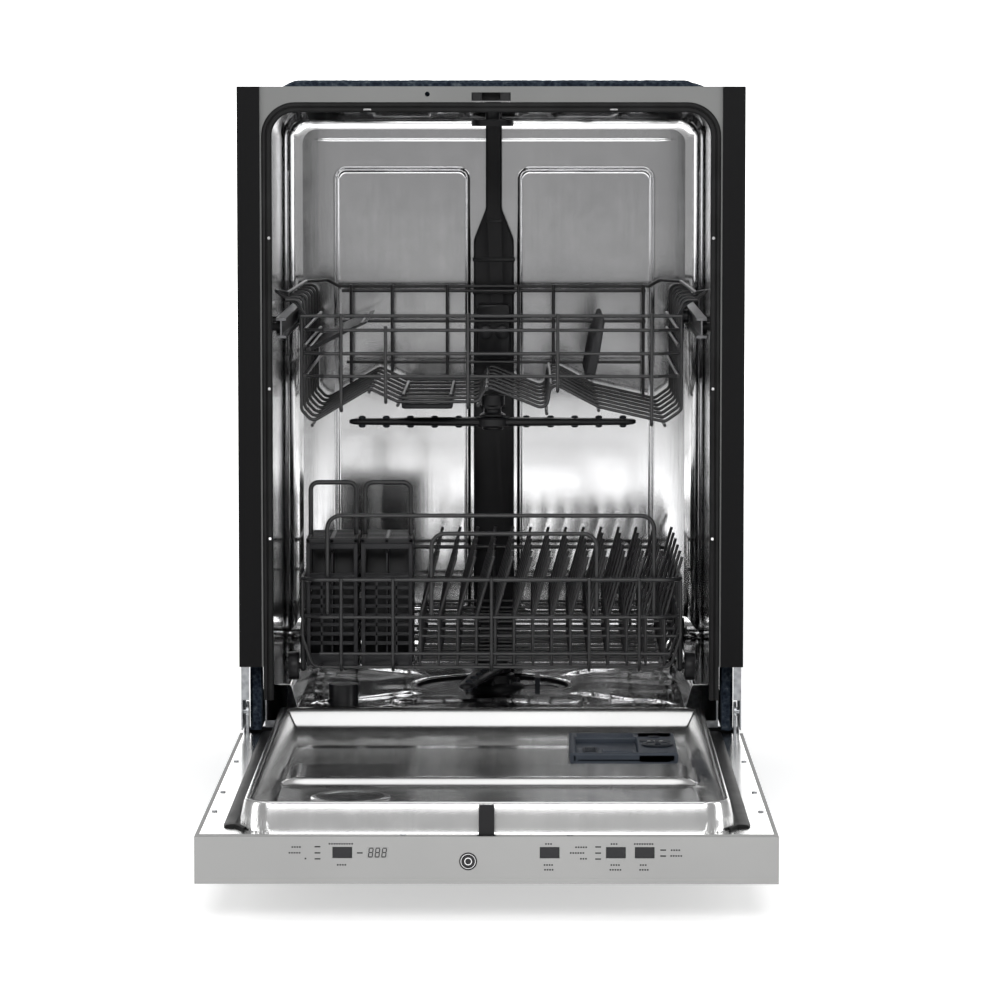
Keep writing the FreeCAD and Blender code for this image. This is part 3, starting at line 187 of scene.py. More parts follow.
def wire_row_tree():
    """Rods bent along a path, repeated in a row."""
    tree, keys = new_tree("bent_wire_row", [("Count", "Int"), ("Step", "Vector"), ("Radius", "Float"),
                                            ("Bend", "Float"), ("Finish", "Material")])
    start = tree.nodes.new("NodeGroupInput")
    curve = tree.nodes.new("GeometryNodeMeshToCurve")
    tree.links.new(add_row(tree, start), curve.inputs["Mesh"])
    bend = tree.nodes.new("GeometryNodeFilletCurve")
    bend.mode = "POLY"
    bend.inputs["Count"].default_value = 5
    bend.inputs["Limit Radius"].default_value = True
    tree.links.new(curve.outputs["Curve"], bend.inputs["Curve"])
    tree.links.new(start.outputs["Bend"], bend.inputs["Radius"])
    ring = tree.nodes.new("GeometryNodeCurvePrimitiveCircle")
    ring.inputs["Resolution"].default_value = 10
    tree.links.new(start.outputs["Radius"], ring.inputs["Radius"])
    sweep = tree.nodes.new("GeometryNodeCurveToMesh")
    sweep.inputs["Fill Caps"].default_value = True
    tree.links.new(bend.outputs["Curve"], sweep.inputs["Curve"])
    tree.links.new(ring.outputs["Curve"], sweep.inputs["Profile Curve"])
    finish_tree(tree, start, sweep.outputs["Mesh"])
    return tree, keys


def part_row_tree():
    """A small part repeated in a row."""
    tree, keys = new_tree("part_row", [("Count", "Int"), ("Step", "Vector"), ("Finish", "Material")])
    start = tree.nodes.new("NodeGroupInput")
    finish_tree(tree, start, add_row(tree, start))
    return tree, keys


WIRE_ROW = wire_row_tree()
PART_ROW = part_row_tree()


def run_tree(mesh, tree_and_keys, values):
    """The plain mesh that a node tree makes from a mesh."""
    tree, keys = tree_and_keys
    holder = bpy.data.objects.new("row_start", mesh)
    bpy.context.scene.collection.objects.link(holder)
    modifier = holder.modifiers.new("row", "NODES")
    modifier.node_group = tree
    for label, value in values.items():
        modifier[keys[label]] = value
    graph = bpy.context.evaluated_depsgraph_get()
    made = bpy.data.meshes.new_from_object(holder.evaluated_get(graph))
    holder.modifiers.remove(modifier)
    bpy.data.objects.remove(holder)
    bpy.data.meshes.remove(mesh)
    return made


# ---------------------------------------------------------------- pieces

class Piece:
    """A mesh in the making."""

    def __init__(self, material):
        self.mesh = bmesh.new()
        self.materials = [material]
        self.current = 0

    def use(self, material):
        if material not in self.materials:
            self.materials.append(material)
        self.current = self.materials.index(material)

    def point(self, x, y, z):
        return self.mesh.verts.new((x * MM, (y + FRONT) * MM, z * MM))

    def face(self, corners):
        made = self.mesh.faces.new(corners)
        made.material_index = self.current
        return made

    def loft(self, rings, closed=True, capped=True):
        """Skins a row of matching rings."""
        rows = [[self.point(*spot) for spot in ring] for ring in rings]
        count = len(rows[0])
        for first, second in zip(rows, rows[1:]):
            for i in range(count if closed else count - 1):
                j = (i + 1) % count
                self.face((first[i], first[j], second[j], second[i]))
        if capped:
            self.face(list(reversed(rows[0])))
            self.face(rows[-1])
        return rows

    def prism(self, outline, axis, low, high, edge=0.0):
        """An outline pushed along an axis, its two rims softened by edge."""
        centre = sum((Vector(p) for p in outline), Vector((0, 0))) / len(outline)
        levels = [(low, edge), (low + edge, 0), (high - edge, 0), (high, edge)] if edge else \
            [(low, 0), (high, 0)]
        rings = []
        for level, inset in levels:
            ring = []
            for spot in outline:
                away = Vector(spot) - centre
                x_in = inset * min(max(away.x / 2, -1), 1)
                y_in = inset * min(max(away.y / 2, -1), 1)
                u, v = spot[0] - x_in, spot[1] - y_in
                ring.append({"X": (level, u, v), "Y": (u, level, v), "Z": (u, v, level)}[axis])
            rings.append(ring)
        self.loft(rings)

    def block(self, low, high, corner=1.5, axis="Z", edge=0.8):
        """A block with rounded corners along its axis and softened rims."""
        index = "XYZ".index(axis)
        flat = [i for i in range(3) if i != index]
        outline = rectangle([low[i] for i in flat], [high[i] for i in flat])
        if corner:
            outline = soft_corners(outline, corner, steps=4)
        self.prism(outline, axis, low[index], high[index], edge)

    def turned(self, centre, axis, profile, sides=40):
        """A round part from (radius, distance along the axis) pairs, from one end to the other."""
        rings = []
        for radius, along in profile:
            ring = []
            for step in range(sides):
                angle = 2 * math.pi * step / sides
                u, v = radius * math.cos(angle), radius * math.sin(angle)
                x, y, z = {"X": (along, u, v), "Y": (u, along, v), "Z": (u, v, along)}[axis]
                ring.append((centre[0] + x, centre[1] + y, centre[2] + z))
            rings.append(ring)
        self.loft(rings)

    def sheet(self, us, vs, place):
        """A grid of points given by place(u, v)."""
        rows = [[self.point(*place(u, v)) for u in us] for v in vs]
        for first, second in zip(rows, rows[1:]):
            for i in range(len(us) - 1):
                self.face((first[i], first[i + 1], second[i + 1], second[i]))
        return rows

    def merge(self, data):
        before = len(self.mesh.faces)
        self.mesh.from_mesh(data)
        self.mesh.faces.ensure_lookup_table()
        for index in range(before, len(self.mesh.faces)):
            self.mesh.faces[index].material_index = self.current
        bpy.data.meshes.remove(data)

    def wire(self, points, radius=2.0, bend=8.0, count=1, step=(0, 0, 0), closed=False):
        """A bent rod through the points, repeated count times."""
        data = bpy.data.meshes.new("wire_path")
        spots = [(x * MM, (y + FRONT) * MM, z * MM) for x, y, z in points]
        links = [(i, i + 1) for i in range(len(spots) - 1)]
        if closed:
            links.append((len(spots) - 1, 0))
        data.from_pydata(spots, links, [])
        self.merge(run_tree(data, WIRE_ROW, {
            "Count": count, "Step": Vector(step) * MM, "Radius": radius * MM, "Bend": bend * MM,
            "Finish": self.materials[self.current]}))

    def row(self, part, count, step):
        """A small part repeated along a step."""
        bmesh.ops.recalc_face_normals(part.mesh, faces=part.mesh.faces)
        data = bpy.data.meshes.new("row_part")
        part.mesh.to_mesh(data)
        part.mesh.free()
        self.merge(run_tree(data, PART_ROW, {
            "Count": count, "Step": Vector(step) * MM, "Finish": self.materials[self.current]}))

    def finish(self, name, body, nodes=(), sharp=38):
        """The piece as an object on its body; sharp is the angle that stays an edge."""
        bmesh.ops.recalc_face_normals(self.mesh, faces=self.mesh.faces)
        data = bpy.data.meshes.new(name)
        self.mesh.to_mesh(data)
        self.mesh.free()
        for material in self.materials:
            data.materials.append(material)
        data.shade_smooth()
        data.set_sharp_from_angle(angle=math.radians(sharp))
        made = bpy.data.objects.new(name, data)
        bpy.context.scene.collection.objects.link(made)
        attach(made, body)
        if nodes:
            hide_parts(*nodes)
        return made


# ---------------------------------------------------------------- finishes

class Value:
    """A shader socket that can be used in sums."""

    def __init__(self, shader, socket):
        self.shader, self.socket = shader, socket

    def sum(self, operation, first, second):
        return self.shader.add("ShaderNodeMath", {"operation": operation}, {0: first, 1: second})

    def __add__(self, other):
        return self.sum("ADD", self, other)

    def __radd__(self, other):
        return self.sum("ADD", other, self)

    def __sub__(self, other):
        return self.sum("SUBTRACT", self, other)

    def __rsub__(self, other):
        return self.sum("SUBTRACT", other, self)

    def __mul__(self, other):
        return self.sum("MULTIPLY", self, other)

    def __rmul__(self, other):
        return self.sum("MULTIPLY", other, self)


class Finish:
    """A material with one principled shader."""

    def __init__(self, name, **fixed):
        self.material = bpy.data.materials.new(name)
        self.material.use_nodes = True
        self.tree = self.material.node_tree
        self.tree.nodes.clear()
        self.shader = self.tree.nodes.new("ShaderNodeBsdfPrincipled")
        output = self.tree.nodes.new("ShaderNodeOutputMaterial")
        self.tree.links.new(self.shader.outputs[0], output.inputs[0])
        for label, value in fixed.items():
            self.shader.inputs[label.replace("_", " ")].default_value = value

    def add(self, kind, settings=None, values=None, out=0):
        """A node with its settings made first, then its socket values or links."""
        node = self.tree.nodes.new(kind)
        for label, value in (settings or {}).items():
            if label == "stops":
                node.color_ramp.elements[0].position, node.color_ramp.elements[0].color = value[0]
                node.color_ramp.elements[1].position, node.color_ramp.elements[1].color = value[-1]
                for position, colour in value[1:-1]:
                    node.color_ramp.elements.new(position).color = colour
            else:
                setattr(node, label, value)
        for socket, value in (values or {}).items():
            self.set(node.inputs[socket], value)
        return Value(self, node.outputs[out])

    def set(self, socket, value):
        if isinstance(value, Value):
            self.tree.links.new(value.socket, socket)
        else:
            socket.default_value = value

    def place(self, scale=(1, 1, 1)):
        """Object coordinates, stretched by scale."""
        spot = self.add("ShaderNodeTexCoord", out="Object")
        return self.add("ShaderNodeMapping", None, {"Vector": spot, "Scale": scale})

    def noise(self, scale, detail=4.0, stretch=(1, 1, 1), roughness=0.55):
        return self.add("ShaderNodeTexNoise", None, {
            "Vector": self.place(stretch), "Scale": scale, "Detail": detail,
            "Roughness": roughness}, "Fac")

    def cells(self, scale, stretch=(1, 1, 1)):
        return self.add("ShaderNodeTexVoronoi", None, {"Vector": self.place(stretch), "Scale": scale},
                        "Distance")

    def ramp(self, value, *stops):
        return self.add("ShaderNodeValToRGB", {"stops": stops}, {"Fac": value}, "Color")

    def colours(self, value, dark, light, low=0.3, high=0.7):
        return self.ramp(value, (low, (*dark, 1)), (high, (*light, 1)))

    def bump(self, height, strength, distance):
        return self.add("ShaderNodeBump", None, {"Height": height, "Strength": strength,
                                                 "Distance": distance}, "Normal")

    def feed(self, **links):
        for label, value in links.items():
            self.set(self.shader.inputs[label.replace("_", " ")], value)
        return self.material


def moulded(name, dark, light, rough=0.42, grain=900, depth=0.00006, shine=0.3):
    """Injection-moulded plastic: fine spark-eroded grain with slow changes of sheen."""
    made = Finish(name, Specular_IOR_Level=shine)
    slow = made.noise(14, 3)
    fine = made.noise(grain, 3)
    return made.feed(Base_Color=made.colours(slow, dark, light),
                     Roughness=fine * 0.12 + slow * 0.12 + (rough - 0.12),
                     Normal=made.bump(fine, 0.35, depth))


def polished_steel(name, dark, light, rough, wave=0.0):
    """Bright-rolled stainless: faint rolling lines, small haze, and the slight waviness of thin
    pressed sheet."""
    made = Finish(name, Metallic=1.0)
    slow = made.noise(5, 2)
    lines = made.noise(260, 3, (1, 0.04, 0.04))
    haze = made.noise(38, 5)
    wavy = made.noise(7, 1)
    height = lines * 0.02 + wavy * wave
    return made.feed(Base_Color=made.colours(slow, dark, light),
                     Roughness=haze * 0.08 + lines * 0.04 + (rough - 0.06),
                     Normal=made.bump(height, 0.5, 0.002))


def painted_sheet(name, dark, light, rough):
    """Smooth baked enamel with a very fine orange peel."""
    made = Finish(name, Specular_IOR_Level=0.04)
    slow = made.noise(6, 3)
    peel = made.noise(520, 2)
    fine = made.noise(2400, 2)
    return made.feed(Base_Color=made.colours(slow * 0.6 + fine * 0.4, dark, light),
                     Roughness=peel * 0.1 + slow * 0.06 + (rough - 0.08),
                     Normal=made.bump(peel, 0.2, 0.00004))


def pressed_felt():
    """Mottled recycled-fibre felt with tangled threads."""
    made = Finish("sound_felt", Roughness=0.95, Specular_IOR_Level=0.1)
    clumps = made.noise(90, 5, roughness=0.7)
    threads = made.noise(600, 6, (1, 1, 1), 0.75)
    flecks = made.cells(210)
    mottled = clumps * 0.55 + threads * 0.3 + flecks * 0.25
    return made.feed(
        Base_Color=made.ramp(mottled, (0.34, (0.003, 0.004, 0.007, 1)), (0.5, (0.014, 0.02, 0.032, 1)),
                             (0.62, (0.034, 0.045, 0.06, 1)), (0.75, (0.1, 0.115, 0.13, 1))),
        Normal=made.bump(threads * 0.5 + clumps * 0.8, 0.9, 0.002))


def seal_rubber():
    """Matt black rubber with a little bloom."""
    made = Finish("seal_rubber", Specular_IOR_Level=0.1)
    bloom = made.noise(30, 4)
    fine = made.noise(700, 3)
    return made.feed(Base_Color=made.colours(bloom, (0.006, 0.006, 0.006), (0.013, 0.013, 0.0135)),
                     Roughness=bloom * 0.2 + 0.38, Normal=made.bump(fine, 0.3, 0.00008))


def extruded_trim():
    """Black strip with the faint lengthwise bands of an extrusion."""
    made = Finish("trim_black", Specular_IOR_Level=0.07)
    bands = made.noise(420, 2, (1, 0.02, 0.01))
    slow = made.noise(3, 2, (1, 1, 0.4))
    return made.feed(Base_Color=made.colours(slow, (0.0035, 0.0035, 0.0038), (0.007, 0.007, 0.0075)),
                     Roughness=bands * 0.22 + 0.34, Normal=made.bump(bands, 0.25, 0.00015))


def nylon_wire(name, dark, light):
    """Nylon powder coating: a soft shine over small runs in the coating."""
    made = Finish(name, Coat_Weight=0.1, Coat_Roughness=0.2, Specular_IOR_Level=0.35)
    runs = made.noise(120, 3)
    return made.feed(Base_Color=made.colours(runs, dark, light), Roughness=runs * 0.16 + 0.26,
                     Normal=made.bump(runs, 0.35, 0.0003))


def zinc_plate():
    """Galvanised sheet with a faint spangle."""
    made = Finish("zinc_steel", Metallic=1.0)
    spangle = made.cells(160)
    haze = made.noise(60, 4)
    return made.feed(Base_Color=made.colours(spangle * 0.5 + haze * 0.5, (0.24, 0.248, 0.26),
                                             (0.38, 0.39, 0.405)),
                     Roughness=haze * 0.2 + 0.22, Normal=made.bump(haze, 0.3, 0.0002))


TUB_STEEL = polished_steel("tub_steel", (0.66, 0.66, 0.665), (0.78, 0.78, 0.785), 0.1, 0.1)
BACK_STEEL = polished_steel("back_steel", (0.62, 0.62, 0.63), (0.7, 0.7, 0.705), 0.13, 0.04)
LINER_STEEL = polished_steel("liner_steel", (0.66, 0.66, 0.66), (0.76, 0.76, 0.755), 0.2, 0.06)
FRAME_GREY = painted_sheet("frame_grey", (0.15, 0.152, 0.15), (0.18, 0.182, 0.18), 0.5)
PANEL_GREY = painted_sheet("panel_grey", (0.29, 0.29, 0.287), (0.33, 0.33, 0.326), 0.6)
RUBBER = seal_rubber()
TRIM = extruded_trim()
FELT = pressed_felt()
ZINC = zinc_plate()
DARK = moulded("dark_plastic", (0.005, 0.005, 0.006), (0.012, 0.012, 0.013), 0.34, shine=0.22)
TUBE_DARK = moulded("tube_plastic", (0.007, 0.007, 0.008), (0.013, 0.013, 0.014), 0.36, shine=0.16)
BASKET_GREY = moulded("basket_plastic", (0.01, 0.01, 0.011), (0.02, 0.02, 0.022), 0.38, shine=0.2)
GREY_PLASTIC = moulded("grey_plastic", (0.026, 0.032, 0.042), (0.038, 0.045, 0.058), 0.4, shine=0.16)
GREY_DEEP = moulded("grey_plastic_deep", (0.012, 0.014, 0.018), (0.02, 0.023, 0.028), 0.4, shine=0.14)
WHITE = moulded("white_plastic", (0.7, 0.7, 0.68), (0.8, 0.8, 0.78), 0.4)
BUTTON = moulded("button_black", (0.008, 0.008, 0.009), (0.016, 0.016, 0.018), 0.24, 1400, 0.00003)
MARK = moulded("mark_grey", (0.02, 0.02, 0.022), (0.036, 0.036, 0.038), 0.5, 1400, 0.00003, shine=0.1)
BOARD = moulded("board_green", (0.01, 0.1, 0.035), (0.02, 0.2, 0.07), 0.4)
WIRE = nylon_wire("rack_nylon", (0.012, 0.012, 0.013), (0.022, 0.022, 0.023))
HANDLE = nylon_wire("handle_nylon", (0.008, 0.008, 0.009), (0.014, 0.014, 0.015))
RAIL = polished_steel("rail_steel", (0.1, 0.1, 0.105), (0.16, 0.16, 0.165), 0.34)
BADGE_BRIGHT = polished_steel("badge_metal", (0.6, 0.6, 0.61), (0.8, 0.8, 0.8), 0.2)
HEATER = polished_steel("heater_steel", (0.4, 0.39, 0.38), (0.6, 0.58, 0.56), 0.35)

CAD_FINISHES = {
    "front_frame": FRAME_GREY, "control_panel": PANEL_GREY, "door_outer_panel": PANEL_GREY,
    "side_trims": TRIM, "toe_kick": TRIM, "base_frame": ZINC, "hinge_brackets": ZINC,
    "hinge_arms": ZINC, "rack_rail_left": RAIL, "rack_rail_right": RAIL, "door_screws": ZINC,
    "door_springs": ZINC, "levelling_legs": ZINC, "junction_box": ZINC, "ceiling_nozzle": DARK,
    "sump_housing": DARK, "circulation_pump": DARK, "drain_pump": DARK, "latch_strike": DARK,
    "rail_rollers": DARK, "latch_housing": DARK, "cylinder_filter": GREY_DEEP,
    "overfill_float": DARK, "inlet_valve": WHITE, "indicator_lenses": WHITE,
    "start_button": BUTTON, "delay_button": BUTTON, "cycle_button": BUTTON, "temp_button": BUTTON,
    "control_board": BOARD, "flow_heater": HEATER, "flat_filter": BACK_STEEL,
    "latch_hook": DARK,
}


# ---------------------------------------------------------------- tub

def tub_lining():
    """Sides and ceiling of the tub, drawn into the back wall with large radii."""
    made = Piece(TUB_STEEL)
    depths = spread(2, (30, 7), (96, 5), (124, 8), (406, 8), (434, 8), (BACK - 36, 4),
                    (BACK - 28, 8), (BACK - 8, 12), (BACK - 4, 6), (BACK, 12))
    lumps = [(-162, -76, 7), (-36, 36, 6), (78, 163, 7)]
    rings = []
    for y in depths:
        into_top = max(y - (BACK - 34), 0)
        into_side = max(y - (BACK - 24), 0)
        top = CEILING - 0.8 * (into_top ** 2 / 8 if into_top < 4 else into_top - 2)
        top -= 10 * (1 - math.sqrt(max(1 - (max(into_top - 31, 0) / 3) ** 2, 0)))
        half = TUB_HALF - 24 + math.sqrt(max(24 ** 2 - into_side ** 2, 0))
        half -= 2.5 * band(y, 110, 420, 9) + 2 * (1 - smooth(y, 12, 30))
        radius = 41 - into_side * 0.9
        inner = []
        for x, z in arch_line(half, top, radius, LEDGE, 20, 14, 46):
            lump = sum(depth * band(x, low, high, 5) for low, high, depth in lumps)
            lump *= band(into_top, 8, 24, 1.8) * smooth(z, top - 8, top - 1)
            inner.append((x, y - lump * 0.7, z - lump * 0.7))
        outer = [(x, y, z) for x, z in arch_line(half + STEEL, top + STEEL, radius + STEEL, LEDGE,
                                                 20, 14, 46)]
        rings.append(inner + outer[::-1])
    made.loft(rings)
    return made.finish("tub_lining", "cabinet", ["tub_wrap"], sharp=30)


def back_pressing():
    """Back wall with two outlined panels pressed into it."""
    made = Piece(BACK_STEEL)
    xs = spread(-250, (-214, 4), (-192, 24), (-46, 8), (-22, 24), (22, 6), (46, 24), (192, 8),
                (214, 24), (250, 4))
    zs = spread(FLOOR - 12, (168, 4), (200, 32), (736, 14), (772, 36), (CEILING - 54, 3),
                (CEILING - 44, 12), (CEILING - 35, 3))

    def near(x, z):
        rise = 0
        for low, high in ((-203, -34), (34, 204)):
            away = rounded_box_distance(x, z, (low, 184), (high, 758), 12)
            rise += 2.4 * math.exp(-(away / 1.9) ** 2) + 0.5 * (1 - smooth(away, -4, 2))
        rise += 0.5 * math.exp(-((z - CEILING + 49) / 0.9) ** 2) * (1 - smooth(abs(x), 214, 228))
        return (x, BACK - rise, z)

    first = made.sheet(xs, zs, near)
    second = made.sheet(xs, zs, lambda x, z: (x, BACK + STEEL, z))
    stitch(made, first, second)
    return made.finish("back_pressing", "cabinet", ["tub_back_wall"], sharp=60)


def stitch(made, first, second):
    """Closes the border between two grids of the same size."""
    pairs = [(first[0], second[0]), (first[-1], second[-1]),
             ([row[0] for row in first], [row[0] for row in second]),
             ([row[-1] for row in first], [row[-1] for row in second])]
    for one, other in pairs:
        for i in range(len(one) - 1):
            made.face((one[i], one[i + 1], other[i + 1], other[i]))


def tub_floor_pressing():
    """Tub floor with wheel ledges, stiffening ribs and a dished sump seat."""
    made = Piece(TUB_STEEL)
    sump = Vector((0, ARM_AXIS))
    ribs = [((sump.x, sump.y), (side * 225, end)) for side in (-1, 1) for end in (70, 500)]

    def height(x, y):
        away = math.hypot(x - sump.x, y - sump.y)
        z = FLOOR + 30 * smooth(abs(x), 231, 242)
        z += 3 * smooth(away, 110, 330) * (1 - smooth(abs(x), 225, 238))
        z -= 9 * (1 - smooth(away, 92, 100))
        if away > 104:
            for start, end in ribs:
                line = Vector(end) - Vector(start)
                along = (Vector((x, y)) - Vector(start)).dot(line) / line.length_squared
                off = ((Vector((x, y)) - Vector(start)) - line * along).length
                z += 3.5 * math.exp(-(off / 6) ** 2) * band(along, 0.42, 0.94, 0.05)
            front = rounded_box_distance(x, y, (-122, 30), (110, 112), 20)
            z += 3 * math.exp(-(front / 3.5) ** 2)
            z += 2.2 * noise.noise(Vector((x / 70, y / 70, 0))) * (1 - smooth(abs(x), 225, 238))
        into_back = max(y - (BACK - 26), 0)
        return z + 26 - math.sqrt(max(26 ** 2 - into_back ** 2, 0))

    xs = spread(-TUB_HALF, (-244, 3), (-228, 8), (-130, 20), (130, 56), (228, 20), (244, 8),
                (TUB_HALF, 3))
    ys = spread(50, (120, 22), (BACK - 26, 74), (BACK, 9))
    first = made.sheet(xs, ys, lambda x, y: (x, y, height(x, y)))
    second = made.sheet(xs, ys, lambda x, y: (x, y, height(x, y) - STEEL))
    stitch(made, first, second)
    return made.finish("tub_floor_pressing", "cabinet", ["tub_floor"], sharp=50)


def door_seal():
    """Extruded seal with two lips, run up one side, over the top and down the other."""
    low, high = extent("door_gasket")
    made = Piece(RUBBER)
    section = [(0.2, 11.8), (0, 1.2), (0.8, -0.8), (2.4, -1.5), (4.4, -1.2), (5.2, 0.8), (6.2, 0.8),
               (7.0, -1.2), (9.2, -1.4), (11, -0.6), (12, 1.4), (12, 8), (10.6, 8.6), (10.6, 11.8)]
    lines = [arch_line(high.x - inset, high.z - inset, 40 - inset, low.z, 30, 18, 26)
             for inset, depth in section]
    rings = [[(line[i][0], depth, line[i][1]) for line, (inset, depth) in zip(lines, section)]
             for i in range(len(lines[0]))]
    made.loft(rings)
    return made.finish("door_seal", "cabinet", ["door_gasket"], sharp=50)


def seal_clips():
    """Bright studs beside the seal, three on each side and two above."""
    high = extent("door_gasket")[1]
    clips = Piece(BADGE_BRIGHT)
    for x in (-high.x + 8.6, high.x - 8.6):
        clip = Piece(BADGE_BRIGHT)
        clip.turned((x, 0, 330), "Y", [(1.6, -2.1), (1.9, -1.8), (1.9, -0.9)], 10)
        clips.row(clip, 3, (0, 0, 178))
    clip = Piece(BADGE_BRIGHT)
    clip.block((-150, -2, high.z - 9.6), (-141, -0.9, high.z - 7.4), 0.8, "Y", 0.3)
    clips.row(clip, 2, (290, 0, 0))
    return clips.finish("seal_clips", "cabinet")


def sound_blanket():
    """Heavy felt laid over the tub, its front edge tapered and slightly ragged."""
    low, high = extent("insulation_blanket")
    made = Piece(FELT)
    half, front, back = high.x, low.y, high.y
    depths = spread(front, (front + 10, 4), (front + 40, 4), (back - 9, 18))
    rings = []
    for y in depths:
        taper = 1 - smooth(y, front - 2, front + 9)
        outer = arch_line(half - 4 * taper, high.z - 3.5 * taper, 44, low.z, 40, 12, 60)
        inner = arch_line(half - 13.6, high.z - 22.6, 40, low.z, 40, 12, 60)
        ring = []
        for x, z in outer:
            rough = noise.noise(Vector((x / 9, y / 9, z / 9))) + \
                0.5 * noise.noise(Vector((x / 3.5, y / 3.5, z / 3.5)))
            drop = 13 * smooth(abs(x), 228, 264) * smooth(z, high.z - 60, high.z - 20)
            ring.append((x * (1 + rough * 0.0012), y - 0.6 * rough * taper, z + rough * 0.7 - 0.7
                         - drop))
        rings.append(ring + [(x, y, z) for x, z in inner[::-1]])
    made.loft(rings)
    made.finish("sound_blanket", "cabinet", ["insulation_blanket"], sharp=60)


def rear_blanket():
    """The same felt over the back of the tub."""
    low, high = extent("insulation_blanket")
    made = Piece(FELT)
    outline = soft_corners(rectangle((-high.x + 1, low.z), (high.x - 1, high.z - 1)), [2, 2, 40, 40])
    made.prism(outline, "Y", high.y - 9, high.y, 2)
    made.finish("rear_blanket", "cabinet", sharp=50)


def door_pad():
    """Felt pad between the door's two skins, thinner toward its edges."""
    low, high = extent("door_insulation")
    made = Piece(FELT)
    middle = (low.z + high.z) / 2
    xs = spread(low.x + 0.5, (low.x + 20, 8), (high.x - 20, 50), (high.x - 0.5, 8))
    ys = spread(low.y + 0.5, (low.y + 20, 8), (high.y - 20, 50), (high.y - 0.5, 8))

    def half_thickness(x, y):
        edge = min(x - low.x, high.x - x, y - low.y, high.y - y)
        full = (high.z - low.z) / 2 - 0.4
        loose = 0.5 * noise.noise(Vector((x / 28, y / 28, 0)))
        return full * (0.45 + 0.5 * smooth(edge, 0, 16)) + loose

    first = made.sheet(xs, ys, lambda x, y: (x, y, middle + half_thickness(x, y)))
    second = made.sheet(xs, ys, lambda x, y: (x, y, middle - half_thickness(x, y)))
    stitch(made, first, second)
    made.finish("door_pad", "door", ["door_insulation"], sharp=60)


# ---------------------------------------------------------------- water path

def feed_tube():
    """Flat moulded duct up the back wall, narrow above, with the rack's docking port."""
    made = Piece(TUBE_DARK)
    top = CEILING - 4
    face = BACK - 23
    outline = soft_corners([(-26, FLOOR), (26, FLOOR), (26, 668), (10.3, 708), (10.3, top),
                            (-10.3, top), (-10.3, 708), (-26, 668)], [1, 1, 26, 20, 6, 6, 20, 26])
    made.prism(outline, "Y", face, BACK - 3, 2.2)
    made.block((-10.3, 292, top - 16), (10.3, face + 6, top), 5, "Y", 1)
    made.block((-18, extent("water_feed_tube")[1].y - 190, FLOOR), (18, face + 2, FLOOR + 11), 4, "Y", 1)
    made.use(DARK)
    made.block((-22, face - 7, 512), (22, face + 2, 586), 7, "Y", 2)
    made.turned((0, 0, 473), "Y", [(15, face + 1), (15, face - 3), (13, face - 4), (13, face - 9),
                                   (11.5, face - 10)], 32)
    for x in (-11, 11):
        made.turned((x, 0, 549), "Y", [(9, face - 6), (9, face - 9.4), (7.6, face - 10.4)], 28)
    for half, z in ((27.5, 598), (27.5, 640), (10.5, 690)):
        made.block((-half, face - 1.2, z), (half, face + 4, z + 5), 1.5, "Y", 0.6)
    return made.finish("feed_tube", "cabinet", ["water_feed_tube"])


def spray_arm(name, node, half, turn):
    """Moulded arm: a tapered hollow blade with nozzles on both faces and a round hub."""
    made = Piece(DARK)
    low, high = extent(node)
    centre = centre_of(node)
    level, thickness = low.z, high.z - low.z
    angle = math.radians(turn)

    def turned(x, y, z):
        return (centre[0] + x * math.cos(angle) - y * math.sin(angle),
                centre[1] + x * math.sin(angle) + y * math.cos(angle), z)

    rings = []
    for x in spread(-half, (-half + 12, 5), (-26, 12), (26, 8), (half - 12, 12), (half, 5)):
        end = math.sqrt(max(1 - (max(abs(x) - half + 14, 0) / 14.2) ** 2, 0.02))
        width = (16.5 - 7.5 * smooth(abs(x), 20, half)) * end
        depth = (thickness / 2 - 0.4 - 1.4 * smooth(abs(x), 20, half)) * (0.35 + 0.65 * end)
        ring = []
        for step in range(20):
            a = 2 * math.pi * step / 20
            u = width * math.copysign(abs(math.cos(a)) ** 0.75, math.cos(a))
            v = depth * math.copysign(abs(math.sin(a)) ** 0.75, math.sin(a))
            ring.append(turned(x, u, level + thickness / 2 + v))
        rings.append(ring)
    made.loft(rings)
    hub_low, hub_high = level + 0.3, level + thickness - 0.3
    made.turned((centre[0], centre[1], 0), "Z",
                [(7.2, hub_low), (21, hub_low), (23, hub_low + 1.5), (23.6, hub_high - 2),
                 (22, hub_high), (7.2, hub_high)], 48)
    made.use(GREY_DEEP)
    for side in (-1, 1):
        for face, up in ((level + thickness - 1.2, 1), (level + 1.2, -1)):
            nozzle = Piece(GREY_DEEP)
            spot = turned(side * 42, 2.5 * side, face)
            nozzle.turned(spot, "Z", [(4.6, -1.5 * up), (4.2, 1.4 * up), (2.6, 2.6 * up),
                                      (1.2, 2.6 * up), (1.0, 1.0 * up)], 14)
            step = (half - 58) / 4 * side
            made.row(nozzle, 5, (step * math.cos(angle), step * math.sin(angle), 0))
    return made.finish(name, node, [node])


def lower_arm_mount():
    """Ribbed cone that carries the lower arm, and a round cap above it."""
    made = Piece(DARK)
    centre = (0, ARM_AXIS, 0)
    made.turned(centre, "Z", [(40, 116), (38, 120), (30, 124), (27, 133), (20, 134)], 40)
    for index in range(8):
        a = math.tau * index / 8
        x, y = centre[0] + 31 * math.cos(a), centre[1] + 31 * math.sin(a)
        made.turned((x, y, 0), "Z", [(3.4, 116), (3.2, 126), (2.2, 128)], 12)
    made.turned(centre, "Z", [(7, 146.6), (19, 146.6), (20, 149), (17, 156), (11, 160), (4, 161)],
                36)
    return made.finish("lower_arm_mount", "cabinet")


# ---------------------------------------------------------------- racks

